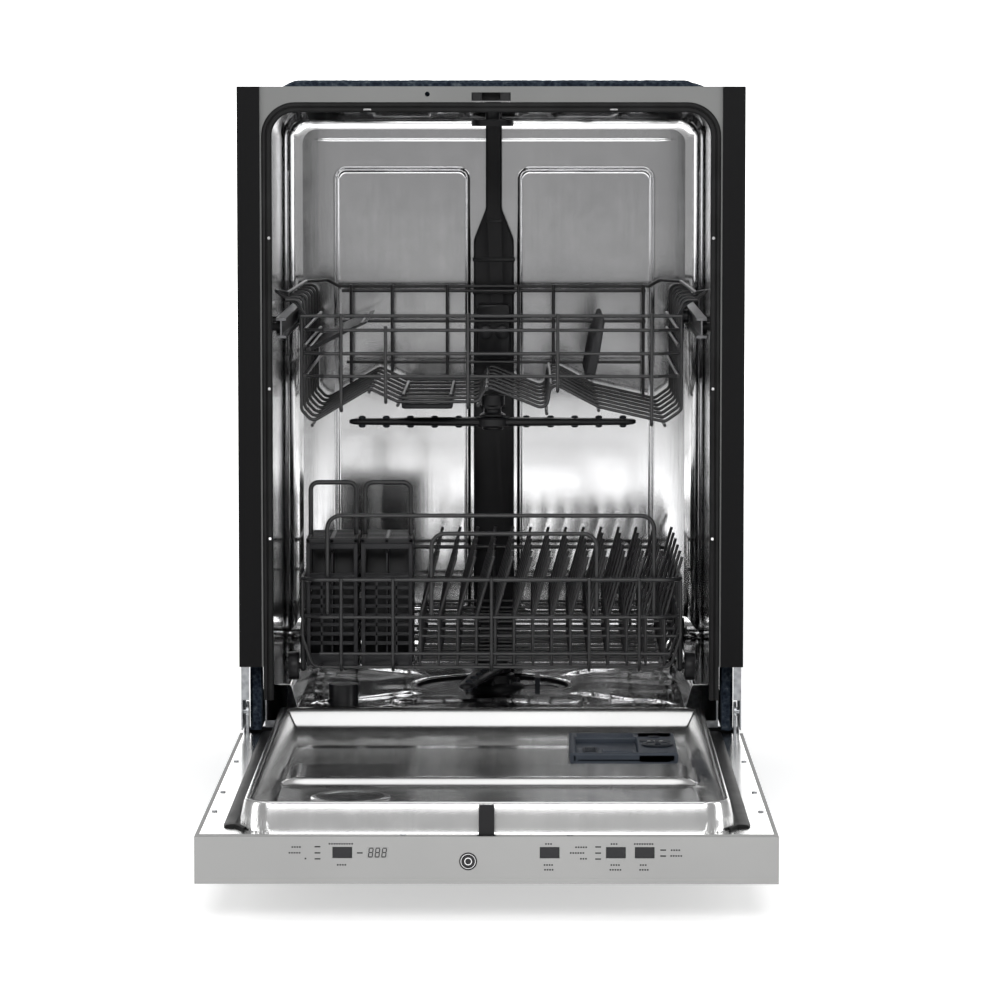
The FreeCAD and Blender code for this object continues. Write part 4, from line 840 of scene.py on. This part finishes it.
def upper_floor_line(lift=0):
    """(x, z) of the upper rack's bent floor from left to right."""
    return [(-227, 479 + lift), (-214, 465 + lift), (-146, 505 + lift), (-112, 489 + lift),
            (-16, 489 + lift), (-6, 508 + lift), (66, 479 + lift), (71, 513 + lift),
            (128, 483 + lift), (207, 465 + lift), (227, 479 + lift)]


def upper_basket():
    """Wire basket with a floor bent into valleys and side rails that lean out."""
    made = Piece(WIRE)
    front, back = RACK_FRONT + 2, RACK_BACK - 2
    side = RACK_HALF - 2
    floor = upper_floor_line()
    ends = [(-246, 611), (-side, 611)]
    cross = [(x, front + 12, z) for x, z in ends + floor + [(side, 611), (246, 611)]]
    made.wire(cross, 2, 9, 7, (0, (back - front - 24) / 6, 0))
    for z in (592, 575, 547, 520):
        reach = side if z == 592 else 199
        made.wire([(-reach, front, z), (reach, front, z)], 2.1)
    made.wire([(-side, front + 10, 592), (-side + 8, front, 592)], 2.1)
    for x, top in ((-179, 592), (-126, 577), (-28, 592), (79, 592), (191, 592)):
        bottom = floor_level(x)
        made.wire([(x, front - 3.6, top + 3), (x, front - 3.6, bottom - 8),
                   (x, front + 10, bottom - 6)], 2, 7)
    for z, reach in ((609, 200), (603, 196), (564, 196), (511, 190)):
        made.wire([(-reach, back, z), (reach, back, z)], 2.1)
    for x in (-184, -131, -60, 32, 77, 193):
        made.wire([(x, back - 3.6, 611), (x, back - 3.6, floor_level(x) - 4)], 2)
    for sign in (-1, 1):
        rim = [(sign * 222, front, 592), (sign * 232, front + 14, 606), (sign * 262, front + 34, 622),
               (sign * 246, front + 60, 617), (sign * 240, back - 50, 617),
               (sign * 214, back - 6, 617), (sign * 200, back, 609)]
        made.wire(rim, 2.1, 10)
        for z in (520, 556):
            made.wire([(sign * (side - 4), front + 8, z), (sign * (side - 4), back - 8, z)], 2)
        made.wire([(sign * 199, front, 575), (sign * (side - 4), front + 16, 575),
                   (sign * (side - 4), back, 575)], 2, 12)
        for z in (547, 520):
            made.wire([(sign * 199, front, z), (sign * (side - 3), front + 14, z)], 2)
    for x, z in floor[1:-1]:
        made.wire([(x, front + 4, z - 4), (x, back - 4, z - 4)], 2)
    made.use(BASKET_GREY)
    made.block((-110, 150, 474), (-48, 420, 480), 6, "Z", 1.5)
    for x in (-110, -52):
        made.block((x, 150, 478), (x + 4, 420, 492), 1.5, "Y", 0.8)
    return made.finish("upper_basket", "upper_rack", ["upper_rack"])


def floor_level(x):
    """Height of the upper rack's floor at x."""
    line = upper_floor_line()
    for (x0, z0), (x1, z1) in zip(line, line[1:]):
        if x0 <= x <= x1:
            return z0 + (z1 - z0) * (x - x0) / (x1 - x0)
    return line[0][1]


def slide_blocks():
    """Adjuster blocks and rollers that carry the upper rack on its rails."""
    made = Piece(DARK)
    low, high = extent("rack_slide_blocks")
    level = centre_of("rack_rail_left").z
    near, far = low.y, high.y
    for sign in (-1, 1):
        inner, outer = sorted((sign * (RACK_HALF + 0.4), sign * (RACK_HALF + 9.6)))
        made.block((inner, near, level - 33), (outer, far, level - 12), 5, "X", 1.5)
        made.block((inner, near + 20, level - 20), (outer, far - 20, level + 19), 8, "X", 1.5)
        made.block((inner, near + 50, level - 58), (outer, near + 92, level - 30), 6, "X", 1.5)
        rib = Piece(DARK)
        past = 1.2 if sign > 0 else 0
        rib.block((inner + 0.5, near + 28, level - 16), (outer + past, near + 33, level + 14),
                  1, "X", 0.5)
        made.row(rib, 7, (0, 17, 0))
        for y in (RACK_BACK - 170, RACK_BACK - 30):
            start = sign * (RACK_HALF + 9)
            made.turned((0, y, level), "X", [(3, start), (8, start), (8.4, start + sign * 1),
                                             (8.4, start + sign * 6), (7, start + sign * 6.8)], 28)
    return made.finish("slide_blocks", "upper_rack", ["rack_slide_blocks"])


def rack_water_duct():
    """Flat duct under the upper rack, from the port at the back to the spray arm."""
    low, high = extent("rack_manifold")
    made = Piece(DARK)
    axis_y = centre_of("upper_spray_arm").y
    made.turned((0, axis_y, 0), "Z", [(6.9, low.z + 1), (12, low.z + 0.4), (13, low.z + 2),
                                      (13, low.z + 3.6), (6.9, low.z + 4)], 32)
    made.turned((0, axis_y, 0), "Z", [(6.8, low.z + 3), (6.8, 457.4), (16, 457.4), (16, 459),
                                      (11, 462), (11, 468), (15, 471), (15, 483)], 36)
    made.block((-11, axis_y - 12, 465), (11, high.y - 8, 482), 6, "Y", 1.5)
    made.turned((0, 0, 473), "Y", [(10, high.y - 20), (10, high.y - 3), (8.6, high.y - 0.5)], 28)
    for y in (axis_y + 30, axis_y + 150):
        made.block((-15, y, 463), (15, y + 7, 489), 3, "Y", 1)
    return made.finish("rack_water_duct", "upper_rack", ["rack_manifold"])


def cup_shelf():
    """Fold-down shelf for cups: a curved comb on a hinge rod."""
    low, high = extent("cup_shelf")
    made = Piece(BASKET_GREY)
    near, far = low.y, high.y
    start, end = Vector((-219, 548)), Vector((high.x - 1.5, high.z - 3.5))
    along = (end - start).normalized()
    up = Vector((-along.y, along.x))
    outline = [start + up * 2.8, start - up * 2.2, start + along * 40 - up * 1.2,
               end - up * 0.8, end + up * 1.2, start + along * 38 + up * 3.4]
    outline = soft_corners([tuple(p) for p in outline], 1.6)
    tooth = Piece(BASKET_GREY)
    tooth.prism(outline, "Y", near, near + 34, 1)
    made.row(tooth, 7, (0, (far - near - 34) / 6, 0))
    for share in (0.12, 0.5, 0.9):
        spot = start + along * (end - start).length * share + up * 0.8
        made.turned((spot.x, 0, spot.y), "Y", [(1, near + 1), (1.9, near + 2), (1.9, far - 2),
                                               (1, far - 1)], 14)
    made.use(WIRE)
    made.turned((-220, 0, 549), "Y", [(2, near + 0.5), (3.4, near + 1.5), (3.4, far - 1.5),
                                      (2, far - 0.5)], 20)
    return made.finish("cup_shelf_comb", "cup_shelf", ["cup_shelf"])


def folding_tines():
    """Row of flat tapered tines on a turning bar."""
    low, high = extent("folding_tines")
    near, far = low.y, high.y
    made = Piece(BASKET_GREY)
    made.turned((118, 0, 515), "Y", [(1.5, near), (2.9, near + 1), (2.9, far - 1), (1.5, far)], 20)
    blade = Piece(BASKET_GREY)
    outline = soft_corners([(112.5, 511), (123, 511), (129, 532), (137, 583), (133, 585), (122, 560)],
                           [3, 3, 8, 2, 2, 8])
    blade.prism(outline, "Y", near + 8, near + 12, 1)
    made.row(blade, 8, (0, (far - near - 20) / 7, 0))
    return made.finish("folding_tine_row", "folding_tines", ["folding_tines"])


def lower_basket():
    """Wire basket with two rims, front bails, rows of leaning tines and its wheels' axle plates."""
    made = Piece(WIRE)
    front, back = RACK_FRONT + 2, RACK_BACK - 2
    side = RACK_HALF - 2
    low, high = extent("lower_rack")
    rim, base = high.z, low.z + 4
    cross = [(-side, front + 14, rim - 2), (-side, front + 14, 206), (-215, front + 14, base + 2),
             (215, front + 14, base + 2), (side, front + 14, 206), (side, front + 14, rim - 2)]
    made.wire(cross, 2, 12, 7, (0, (back - front - 28) / 6, 0))
    loop = [(-side, front + 16, rim), (-side + 14, front, rim), (side - 14, front, rim),
            (side, front + 16, rim), (side, back - 16, rim - 5), (side - 14, back, rim - 5),
            (-side + 14, back, rim - 5), (-side, back - 16, rim - 5)]
    made.wire(loop, 2.6, 12, closed=True)
    second = [(-side, front + 16, 231), (-side + 22, front - 0.5, 231), (side - 22, front - 0.5, 231),
              (side, front + 16, 231), (side, back - 16, 231), (side - 22, back, 231),
              (-side + 22, back, 231), (-side, back - 16, 231)]
    made.wire(second, 2.1, 12, closed=True)
    for x in (-180, -118, 0, 117, 177):
        made.wire([(x, front - 4, rim + 2), (x, front - 4, base + 8), (x, front + 6, base - 1),
                   (x, back - 6, base - 1), (x, back - 4, base + 8), (x, back - 4, rim - 4)], 2, 9)
    for y in (front + 1, back - 1):
        made.wire([(-206, y, 187), (214, y, 187)], 2)
    for left, right, y, top in ((-197, 195, 60, 352), (-72, 126, 52, 331)):
        made.wire([(left, y, 231), (left, y, top), (right, y, top), (right, y, 231)], 2.6, 16)
    pitch = 22.6
    for y in (64, 140, 216, 292, 368, 444):
        made.wire([(-86, y, base), (-86, y, 228), (-65, y, 302)], 1.9, 14, 14, (pitch, 0, 0))
        made.wire([(-92, y + 2, base + 4), (214, y + 2, base + 4)], 2)
        made.wire([(-92, y + 2, 206), (222, y + 2, 206)], 1.8)
    for x in (-205, -160, -115, -92, 140, 205):
        made.wire([(x, front + 8, base + 2), (x, back - 8, base + 2)], 2)
    made.use(DARK)
    for sign in (-1, 1):
        for y in (88, 452):
            lean = sign * (RACK_HALF + 1)
            made.block((min(lean, lean - sign * 6), y - 20, 162), (max(lean, lean - sign * 6), y + 20,
                                                                   206), 8, "X", 1.5)
            made.turned((0, y, 167.3), "X", [(3.9, sign * (RACK_HALF - 2)),
                                             (3.9, sign * (RACK_HALF + 18)),
                                             (6.5, sign * (RACK_HALF + 18.2)),
                                             (6.5, sign * (RACK_HALF + 19.5)),
                                             (4, sign * (RACK_HALF + 20.2))], 20)
    return made.finish("lower_basket", "lower_rack", ["lower_rack"])


def rack_wheels():
    """Four ribbed wheels, each on its own body."""
    for end in ("front", "rear"):
        for word in ("left", "right"):
            node = f"rack_wheel_{end}_{word}"
            low, high = extent(node)
            middle = centre_of(node)
            y, z = middle.y, middle.z
            radius = (high.z - low.z) / 2
            made = Piece(DARK)
            a, b = low.x, high.x
            made.turned((0, y, z), "X", [
                (4.1, a + 1), (9, a + 1), (9.4, a + 2.5), (radius - 3.5, a + 2.5),
                (radius - 2.8, a + 0.6), (radius - 0.8, a + 0.6), (radius, a + 2), (radius, b - 2),
                (radius - 0.8, b - 0.6), (radius - 2.8, b - 0.6), (radius - 3.5, b - 2.5),
                (9.4, b - 2.5), (9, b - 1), (4.1, b - 1)], 48)
            for index in range(6):
                a6 = math.tau * index / 6
                x0, x1 = a + 1.6, b - 1.6
                made.turned((0, y + 11.2 * math.cos(a6), z + 11.2 * math.sin(a6)), "X",
                            [(1.2, x0), (1.5, x0 + 0.4), (1.5, x1 - 0.4), (1.2, x1)], 8)
            made.finish(node + "_tread", node, [node])


def silverware_cell(made, left, near, far, base, top, handle_top):
    """One slatted box with its slotted lid and wire handle."""
    right = left + 62
    for x in (left, right - 5):
        for y in (near, far - 5):
            made.block((x, y, base), (x + 5, y + 5, top), 1.2, "Z", 0.6)
    made.block((left + 1, near + 1, base), (right - 1, far - 1, base + 3), 2, "Z", 0.8)
    for z, tall in ((base, 15), (base + 106, 6), (top - 7, 7)):
        for y in (near + 0.4, far - 2.8):
            made.block((left + 2, y, z), (right - 2, y + 2.4, z + tall), 0.8, "Y", 0.4)
        for x in (left + 0.4, right - 2.8):
            made.block((x, near + 2, z), (x + 2.4, far - 2, z + tall), 0.8, "X", 0.4)

    def bars(low, high, axis, count, step):
        bar = Piece(BASKET_GREY)
        bar.block(low, high, 0.6, axis, 0.3)
        made.row(bar, count, step)

    for y in (near + 0.8, far - 2.4):
        bars((left + 3, y, base + 25), (right - 3, y + 1.8, base + 29.5), "Y", 7, (0, 0, 11.2))
        bars((left + 17, y, base + 12), (left + 20, y + 1.8, base + 108), "Z", 2, (24, 0, 0))
    for x in (left + 0.8, right - 2.4):
        bars((x, near + 3, base + 25), (x + 1.8, far - 3, base + 29.5), "X", 10, (0, 0, 11.2))
        bars((x, near + 20, base + 12), (x + 1.8, near + 23, top - 4), "Z", 4, (0, 22, 0))
    made.block((left + 30, near + 4, base + 2), (left + 32, far - 4, top - 12), 0.6, "Z", 0.3)
    made.block((left + 4, near + 54, base + 2), (right - 4, near + 56, top - 12), 0.6, "Z", 0.3)
    made.use(DARK)
    for y in (near, far - 5):
        made.block((left, y, top), (right, y + 5, top + 6), 1.5, "X", 0.8)
    for x in (left, right - 5, left + 28.5):
        made.block((x, near, top), (x + 5, far, top + 6), 1.5, "Y", 0.8)
    bar = Piece(DARK)
    bar.block((left + 3, near + 14, top + 0.6), (right - 3, near + 20, top + 5.4), 1, "X", 0.6)
    made.row(bar, 6, (0, 16.4, 0))
    made.use(HANDLE)
    middle = (near + far) / 2
    made.wire([(left + 3.4, middle, top - 40), (left + 3.4, middle, handle_top),
               (right - 3.4, middle, handle_top), (right - 3.4, middle, top - 40)], 2.9, 9)
    made.use(BASKET_GREY)


def silverware_basket():
    """Two slatted boxes clipped together."""
    made = Piece(BASKET_GREY)
    low, high = extent("silverware_basket")
    near, far = low.y + 0.3, high.y - 0.3
    base, top = low.z, low.z + 148
    for left in (low.x, low.x + 66):
        silverware_cell(made, left, near, far, base, top, high.z - 3)
    made.block((low.x + 61, near + 20, base + 60), (low.x + 67, near + 90, base + 80), 1.5, "Y", 0.6)
    return made.finish("slatted_baskets", "silverware_basket",
                       ["silverware_basket"])


# ---------------------------------------------------------------- door

def door_lining():
    """Deep-drawn inner door: a raised rim round a dished floor, with a step across it."""
    made = Piece(LINER_STEEL)
    half = (LINER_HIGH.x - LINER_LOW.x) / 2
    start, end = LINER_LOW.y, TAIL
    wall = 257.2
    front = TIP + 31.3
    recess = FLANGE + 3.5

    def height(x, y):
        away = rounded_box_distance(x, y, (-wall, front), (wall, end + 40), 34)
        if away > 0:
            return FLANGE + 9 * (1 - smooth(away, 0, 1.3)) ** 2 * (1 - smooth(y, end - 14, end - 4))
        z = FLANGE + 9 + (RIM - FLANGE - 9) * smooth(-away, -1.5, 5)
        far = end - y
        near_slope = 0.86 * smooth(far, 2, 31) + 0.14 * smooth(far, 28, 112)
        into = min(smooth(-away, 9, 30), near_slope)
        step = band(y, -400, -283, 9) * smooth(-away, 20, 44)
        shallow = 2.2 * smooth(y, -400, -640) if y < -400 else 0
        floor_z = recess + 1 + 8.5 * step - shallow
        floor_z += 1.6 * math.exp(-((y + 100) / 10) ** 2) * smooth(-away, 26, 40)
        return z + (floor_z - z) * into

    xs = spread(-half, (-272, 4), (-224, 42), (224, 40), (272, 42), (half, 4))
    ys = spread(start, (TIP + 24, 3), (TIP + 72, 42), (-414, 12), (-386, 12), (-296, 5), (-268, 12),
                (-124, 8), (-70, 10), (end - 44, 10), (end, 30))
    first = made.sheet(xs, ys, lambda x, y: (x, y, height(x, y)))
    second = made.sheet(xs, ys, lambda x, y: (x, y, height(x, y) - STEEL))
    stitch(made, first, second)
    return made.finish("door_lining", "door", ["door_liner"], sharp=50)


def lining_seal():
    """Black strip laid on the flange along both sides of the lining's wall."""
    made = Piece(RUBBER)
    path = [(-262, TAIL - 8), (-262, TIP + 66), (-252, TIP + 38)]
    for sign in (-1, 1):
        line = soft_corners([(sign * x, y) for x, y in path], 40, closed=False, steps=10)
        rings = []
        for index, spot in enumerate(line):
            before = line[max(index - 1, 0)]
            after = line[min(index + 1, len(line) - 1)]
            along = (after - before).normalized()
            out = Vector((along.y, -along.x)) * sign
            slim = 1 - 0.9 * smooth(index / (len(line) - 1), 0.7, 1)
            rings.append([(spot.x + out.x * u * slim, spot.y + out.y * u * slim, FLANGE + v)
                          for u, v in ((-3, 0), (13, 0), (13.6, 1), (12, 2.6), (8, 3.4), (2, 3.6),
                                       (-2, 3.6), (-3.4, 2))])
        made.loft(rings)
    return made.finish("lining_seal", "door", sharp=50)


def vent():
    """Low round cover with a shallow ring."""
    made = Piece(LINER_STEEL)
    middle = centre_of("vent_cover")
    centre = (middle.x, middle.y, 0)
    base = extent("vent_cover")[0].z - 2.5
    made.turned(centre, "Z", [(44, base), (44.5, base + 1.5), (43.5, base + 4), (40, base + 5.4),
                              (34, base + 5.6), (31, base + 4.6), (29, base + 4.4),
                              (12, base + 5.6), (2, base + 5.8)], 72)
    return made.finish("vent_dome", "door", ["vent_cover"], sharp=60)


def dispenser_shell():
    """Moulded detergent dispenser: a shell with a channel, a cup rim and a rinse-aid seat."""
    low, high = extent("dispenser_body")
    near, far, top = low.y, high.y, high.z
    made = Piece(GREY_PLASTIC)
    made.prism(soft_corners(rectangle((low.x, near), (high.x, far)), 9), "Z", low.z, top - 7, 0.6)
    made.block((low.x, near, low.z + 4), (99, far, top), 3.4, "Y", 1.6)
    made.block((168, near, low.z + 4), (high.x, far, top), 3.4, "Y", 1.6)
    made.block((low.x + 3, near, low.z + 4), (high.x - 3, near + 7.8, top), 3, "X", 1.6)
    made.block((low.x + 3, far - 37, low.z + 4), (high.x - 3, far, top), 3, "X", 1.6)
    rib = Piece(GREY_PLASTIC)
    rib.block((100, far - 33, top - 0.6), (166, far - 31, top + 0.5), 0.4, "X", 0.3)
    made.row(rib, 5, (0, 6, 0))
    made.use(GREY_DEEP)
    made.block((172, near + 84, top - 0.6), (208, near + 108, top + 0.3), 4, "Z", 0.3)
    made.turned((190, near + 130, 0), "Z", [(7, top - 0.5), (7, top + 0.5), (5.6, top + 0.9)], 28)
    made.use(WHITE)
    for x in (183, 190, 197):
        made.block((x - 2, near + 95, top + 0.2), (x + 2, near + 96.4, top + 0.5), 0.3, "Z", 0.1)
    return made.finish("dispenser_shell", "door", ["dispenser_body"])


def sliding_lid():
    """Lid of the detergent cup with a ribbed finger grip."""
    lid_low, lid_high = extent("dispenser_lid")
    lid = Piece(GREY_PLASTIC)
    a, b = lid_low.y, lid_high.y
    lid.prism(soft_corners(rectangle((lid_low.x, a), (lid_high.x, b)), 3), "Z", lid_low.z,
              lid_low.z + 2.6, 0.5)
    lid.use(GREY_DEEP)
    lid.block((106, a + 6, lid_low.z + 2), (123, b - 6, lid_high.z - 0.6), 3, "Z", 0.8)
    groove = Piece(GREY_DEEP)
    groove.block((108.5, a + 12, lid_high.z - 0.8), (120.5, a + 14, lid_high.z), 0.6, "X", 0.3)
    lid.row(groove, 6, (0, 5.4, 0))
    lid.use(GREY_PLASTIC)
    lid.block((128, a + 10, lid_low.z + 2.2), (164, b - 10, lid_low.z + 3.6), 4, "Z", 0.5)
    return lid.finish("sliding_lid", "dispenser_lid", ["dispenser_lid"])


def rinse_cap():
    """Round cap with a raised finger bar."""
    cap_low, cap_high = extent("rinse_aid_cap")
    middle = centre_of("rinse_aid_cap")
    centre = (middle.x, middle.y, 0)
    cap = Piece(GREY_DEEP)
    cap.turned(centre, "Z", [(18.2, cap_low.z), (18.5, cap_low.z + 0.6), (18.5, cap_low.z + 1.6),
                             (17.6, cap_low.z + 2.2), (14, cap_low.z + 2.2),
                             (13, cap_low.z + 1.4), (3, cap_low.z + 1.4)], 56)
    cap.block((middle.x - 3.4, middle.y - 14.5, cap_low.z + 1),
              (middle.x + 3.4, middle.y + 14.5, cap_high.z), 2.6, "Z", 0.7)
    return cap.finish("rinse_cap", "rinse_aid_cap", ["rinse_aid_cap"])


def panel_dashes():
    """Plain printed dashes beside the lamps and buttons."""
    made = Piece(MARK)
    face = TIP - 0.12
    for x, z, width in ((-195, 81, 12), (-197, 75, 14), (-186, 69, 3), (-148.7, 84.4, 28),
                        (-148.7, 62.5, 11), (65, 84.4, 9), (65, 62.5, 12), (65, 57.5, 11),
                        (98, 81, 13), (95, 75, 18), (101, 69, 9), (133, 84.4, 10),
                        (133.4, 62.5, 11), (133.4, 57.5, 13), (163, 84.4, 22), (163.1, 62.5, 10),
                        (163.1, 57.5, 11), (196, 78, 12), (197, 72, 15)):
        letters = max(int(width / 2.6), 1)
        mark = Piece(MARK)
        mark.block((x - width / 2, face, z - 0.8), (x - width / 2 + 1.7, TIP + 0.6, z + 0.8), 0.3,
                   "Y", 0.05)
        made.row(mark, letters, (2.6, 0, 0))
    return made.finish("panel_dashes", "door")


def indicator_lamps():
    """Slim lamp bars: their X, and how far they lie below the panel's top edge."""
    lamps = Piece(BUTTON)
    low, high = extent("indicator_lenses")
    for x, drop in ((-174.2, 10.2), (-174.2, 16.6), (-174.2, 22.8), (-130.6, 16.6), (115.1, 10.2),
                    (115.1, 16.6), (115.1, 22.8), (182.1, 13.4), (182.1, 19.6)):
        lamps.block((x - 3, low.y - 0.1, FLANGE - drop - 0.7),
                    (x + 3, high.y, FLANGE - drop + 0.7), 0.5, "Y", 0.1)
    return lamps.finish("indicator_lamps", "door", ["indicator_lenses"])


def display_digits():
    """Display window with three seven-bar figures, each leaning a little."""
    low, high = extent("display_window")
    window = Piece(PANEL_GREY)
    window.block((low.x, low.y - 0.1, low.z), (high.x, high.y, high.z), 0.6, "Y", 0.1)
    window.use(MARK)
    digit = Piece(MARK)
    face = low.y
    lean = 0.12
    for x0, z0, x1, z1 in ((0.6, 9.2, 4.4, 10.2), (0.6, 4.6, 4.4, 5.6), (0.6, 0, 4.4, 1),
                           (0, 0.8, 1, 4.6), (0, 5.4, 1, 9.2), (4, 0.8, 5, 4.6), (4, 5.4, 5, 9.2)):
        corners = [(x0, z0), (x1, z0), (x1, z1), (x0, z1)]
        digit.prism([(low.x + 0.8 + x + z * lean, low.z + 0.4 + z) for x, z in corners], "Y",
                    face - 0.3, face + 0.3)
    window.row(digit, 3, (6.9, 0, 0))
    return window.finish("display_digits", "door", ["display_window"])


def round_badge():
    """Plain disc with two bright rings."""
    low, high = extent("panel_badge")
    centre = ((low.x + high.x) / 2, 0, (low.z + high.z) / 2)
    face = low.y
    badge = Piece(BUTTON)
    badge.turned(centre, "Y", [(9.2, face + 0.7), (9.2, face - 0.1), (8.8, face - 0.5),
                               (8, face - 0.3), (2, face - 0.3)], 56)
    badge.use(BADGE_BRIGHT)
    for inner, outer in ((7.2, 7.7), (3.1, 3.9)):
        badge.turned(centre, "Y", [(inner, face - 0.2), (inner, face - 0.55), (outer, face - 0.55),
                                   (outer, face - 0.2)], 48)
    return badge.finish("round_badge", "door", ["panel_badge"])


# ---------------------------------------------------------------- room, light and camera

def backdrop():
    """Pale paper, flat under the object and curved up behind it. Its glow is strongest on the floor
    well in front, where the steel of the tub mirrors it."""
    paper = Finish("backdrop_paper", Roughness=0.9, Emission_Strength=2.0)
    fibres = paper.noise(80, 4)
    spot = paper.add("ShaderNodeTexCoord", out="Object")
    depth = paper.add("ShaderNodeSeparateXYZ", None, {"Vector": spot}, "Y")
    place = paper.add("ShaderNodeMapRange", None, {"Value": depth, "From Min": -6.0, "From Max": 6.0})
    glow = [(0.19, 0.05), (0.24, 1), (0.33, 1), (0.39, 0.2), (0.68, 0.2), (0.85, 0.45)]
    paper.feed(Base_Color=paper.colours(fibres, (0.93, 0.93, 0.93), (0.95, 0.95, 0.95)),
               Emission_Color=paper.ramp(place, *[(at, (grey, grey, grey, 1)) for at, grey in glow]))
    half_width, wall, radius, top = 9, 7.4, 1.6, 4
    bend = [math.pi / 2 * i / 16 for i in range(17)]
    profile = [(wall + radius * math.sin(a), radius - radius * math.cos(a)) for a in bend]
    profile = [(-half_width, 0)] + profile + [(wall + radius, top)]
    spots = [(x, y, z) for y, z in profile for x in (-half_width, half_width)]
    faces = [(2 * i, 2 * i + 1, 2 * i + 3, 2 * i + 2) for i in range(len(profile) - 1)]
    data = bpy.data.meshes.new("backdrop")
    data.from_pydata(spots, [], faces)
    data.materials.append(paper.material)
    data.shade_smooth()
    sweep = bpy.data.objects.new("backdrop", data)
    bpy.context.scene.collection.objects.link(sweep)


def soft_air():
    """Even grey light from all round."""
    world = bpy.data.worlds.new("studio")
    world.use_nodes = True
    world.node_tree.nodes["Background"].inputs["Color"].default_value = (0.5, 0.5, 0.5, 1)
    world.node_tree.nodes["Background"].inputs["Strength"].default_value = 0.75
    bpy.context.scene.world = world


def lamp(name, spot, target, size, power):
    """A soft rectangular lamp, in metres, turned toward its target."""
    light = bpy.data.lights.new(name, "AREA")
    light.shape = "RECTANGLE"
    light.size, light.size_y = size
    light.energy = power
    made = bpy.data.objects.new(name, light)
    made.location = spot
    made.rotation_euler = (Vector(target) - Vector(spot)).to_track_quat("-Z", "Y").to_euler()
    bpy.context.scene.collection.objects.link(made)


def front_camera():
    """A long lens, 5.3 m in front and a little above, looking slightly down."""
    data = bpy.data.cameras.new("camera")
    data.lens = 161.64
    data.sensor_width = 36
    data.clip_end = 100
    camera = bpy.data.objects.new("camera", data)
    camera.location = (0.036, FRONT * MM - 5.2976, 0.848)
    camera.rotation_euler = (math.radians(84.91), 0, math.radians(0.276))
    bpy.context.scene.collection.objects.link(camera)
    bpy.context.scene.camera = camera
    bpy.context.scene.view_settings.view_transform = "Standard"


# ---------------------------------------------------------------- the whole dishwasher

tub_lining()
back_pressing()
tub_floor_pressing()
door_seal()
seal_clips()
sound_blanket()
rear_blanket()
door_pad()
feed_tube()
spray_arm("upper_arm", "upper_spray_arm", 178, 0)
spray_arm("lower_arm", "lower_spray_arm", 190, 80)
lower_arm_mount()
upper_basket()
slide_blocks()
rack_water_duct()
cup_shelf()
folding_tines()
lower_basket()
rack_wheels()
silverware_basket()
door_lining()
lining_seal()
vent()
dispenser_shell()
sliding_lid()
rinse_cap()
panel_dashes()
indicator_lamps()
display_digits()
round_badge()

for label, material in CAD_FINISHES.items():
    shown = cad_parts[label]
    shown.data.materials.clear()
    shown.data.materials.append(material)

backdrop()
soft_air()
lamp("overhead", (0, -0.6, 3.6), (0, 0, 0.3), (4.5, 3.5), 50)
lamp("front_fill", (0, -4.4, 2.4), (0, 0, 0.4), (3.4, 1.6), 90)
lamp("left_side", (-3.4, -1.6, 1.5), (0, 0, 0.5), (1.4, 2.4), 32)
lamp("right_side", (3.4, -1.6, 1.5), (0, 0, 0.5), (1.4, 2.4), 32)
lamp("backdrop_wash", (0, 6.2, 4.2), (0, 9, 1.0), (7, 1.2), 60)
front_camera()
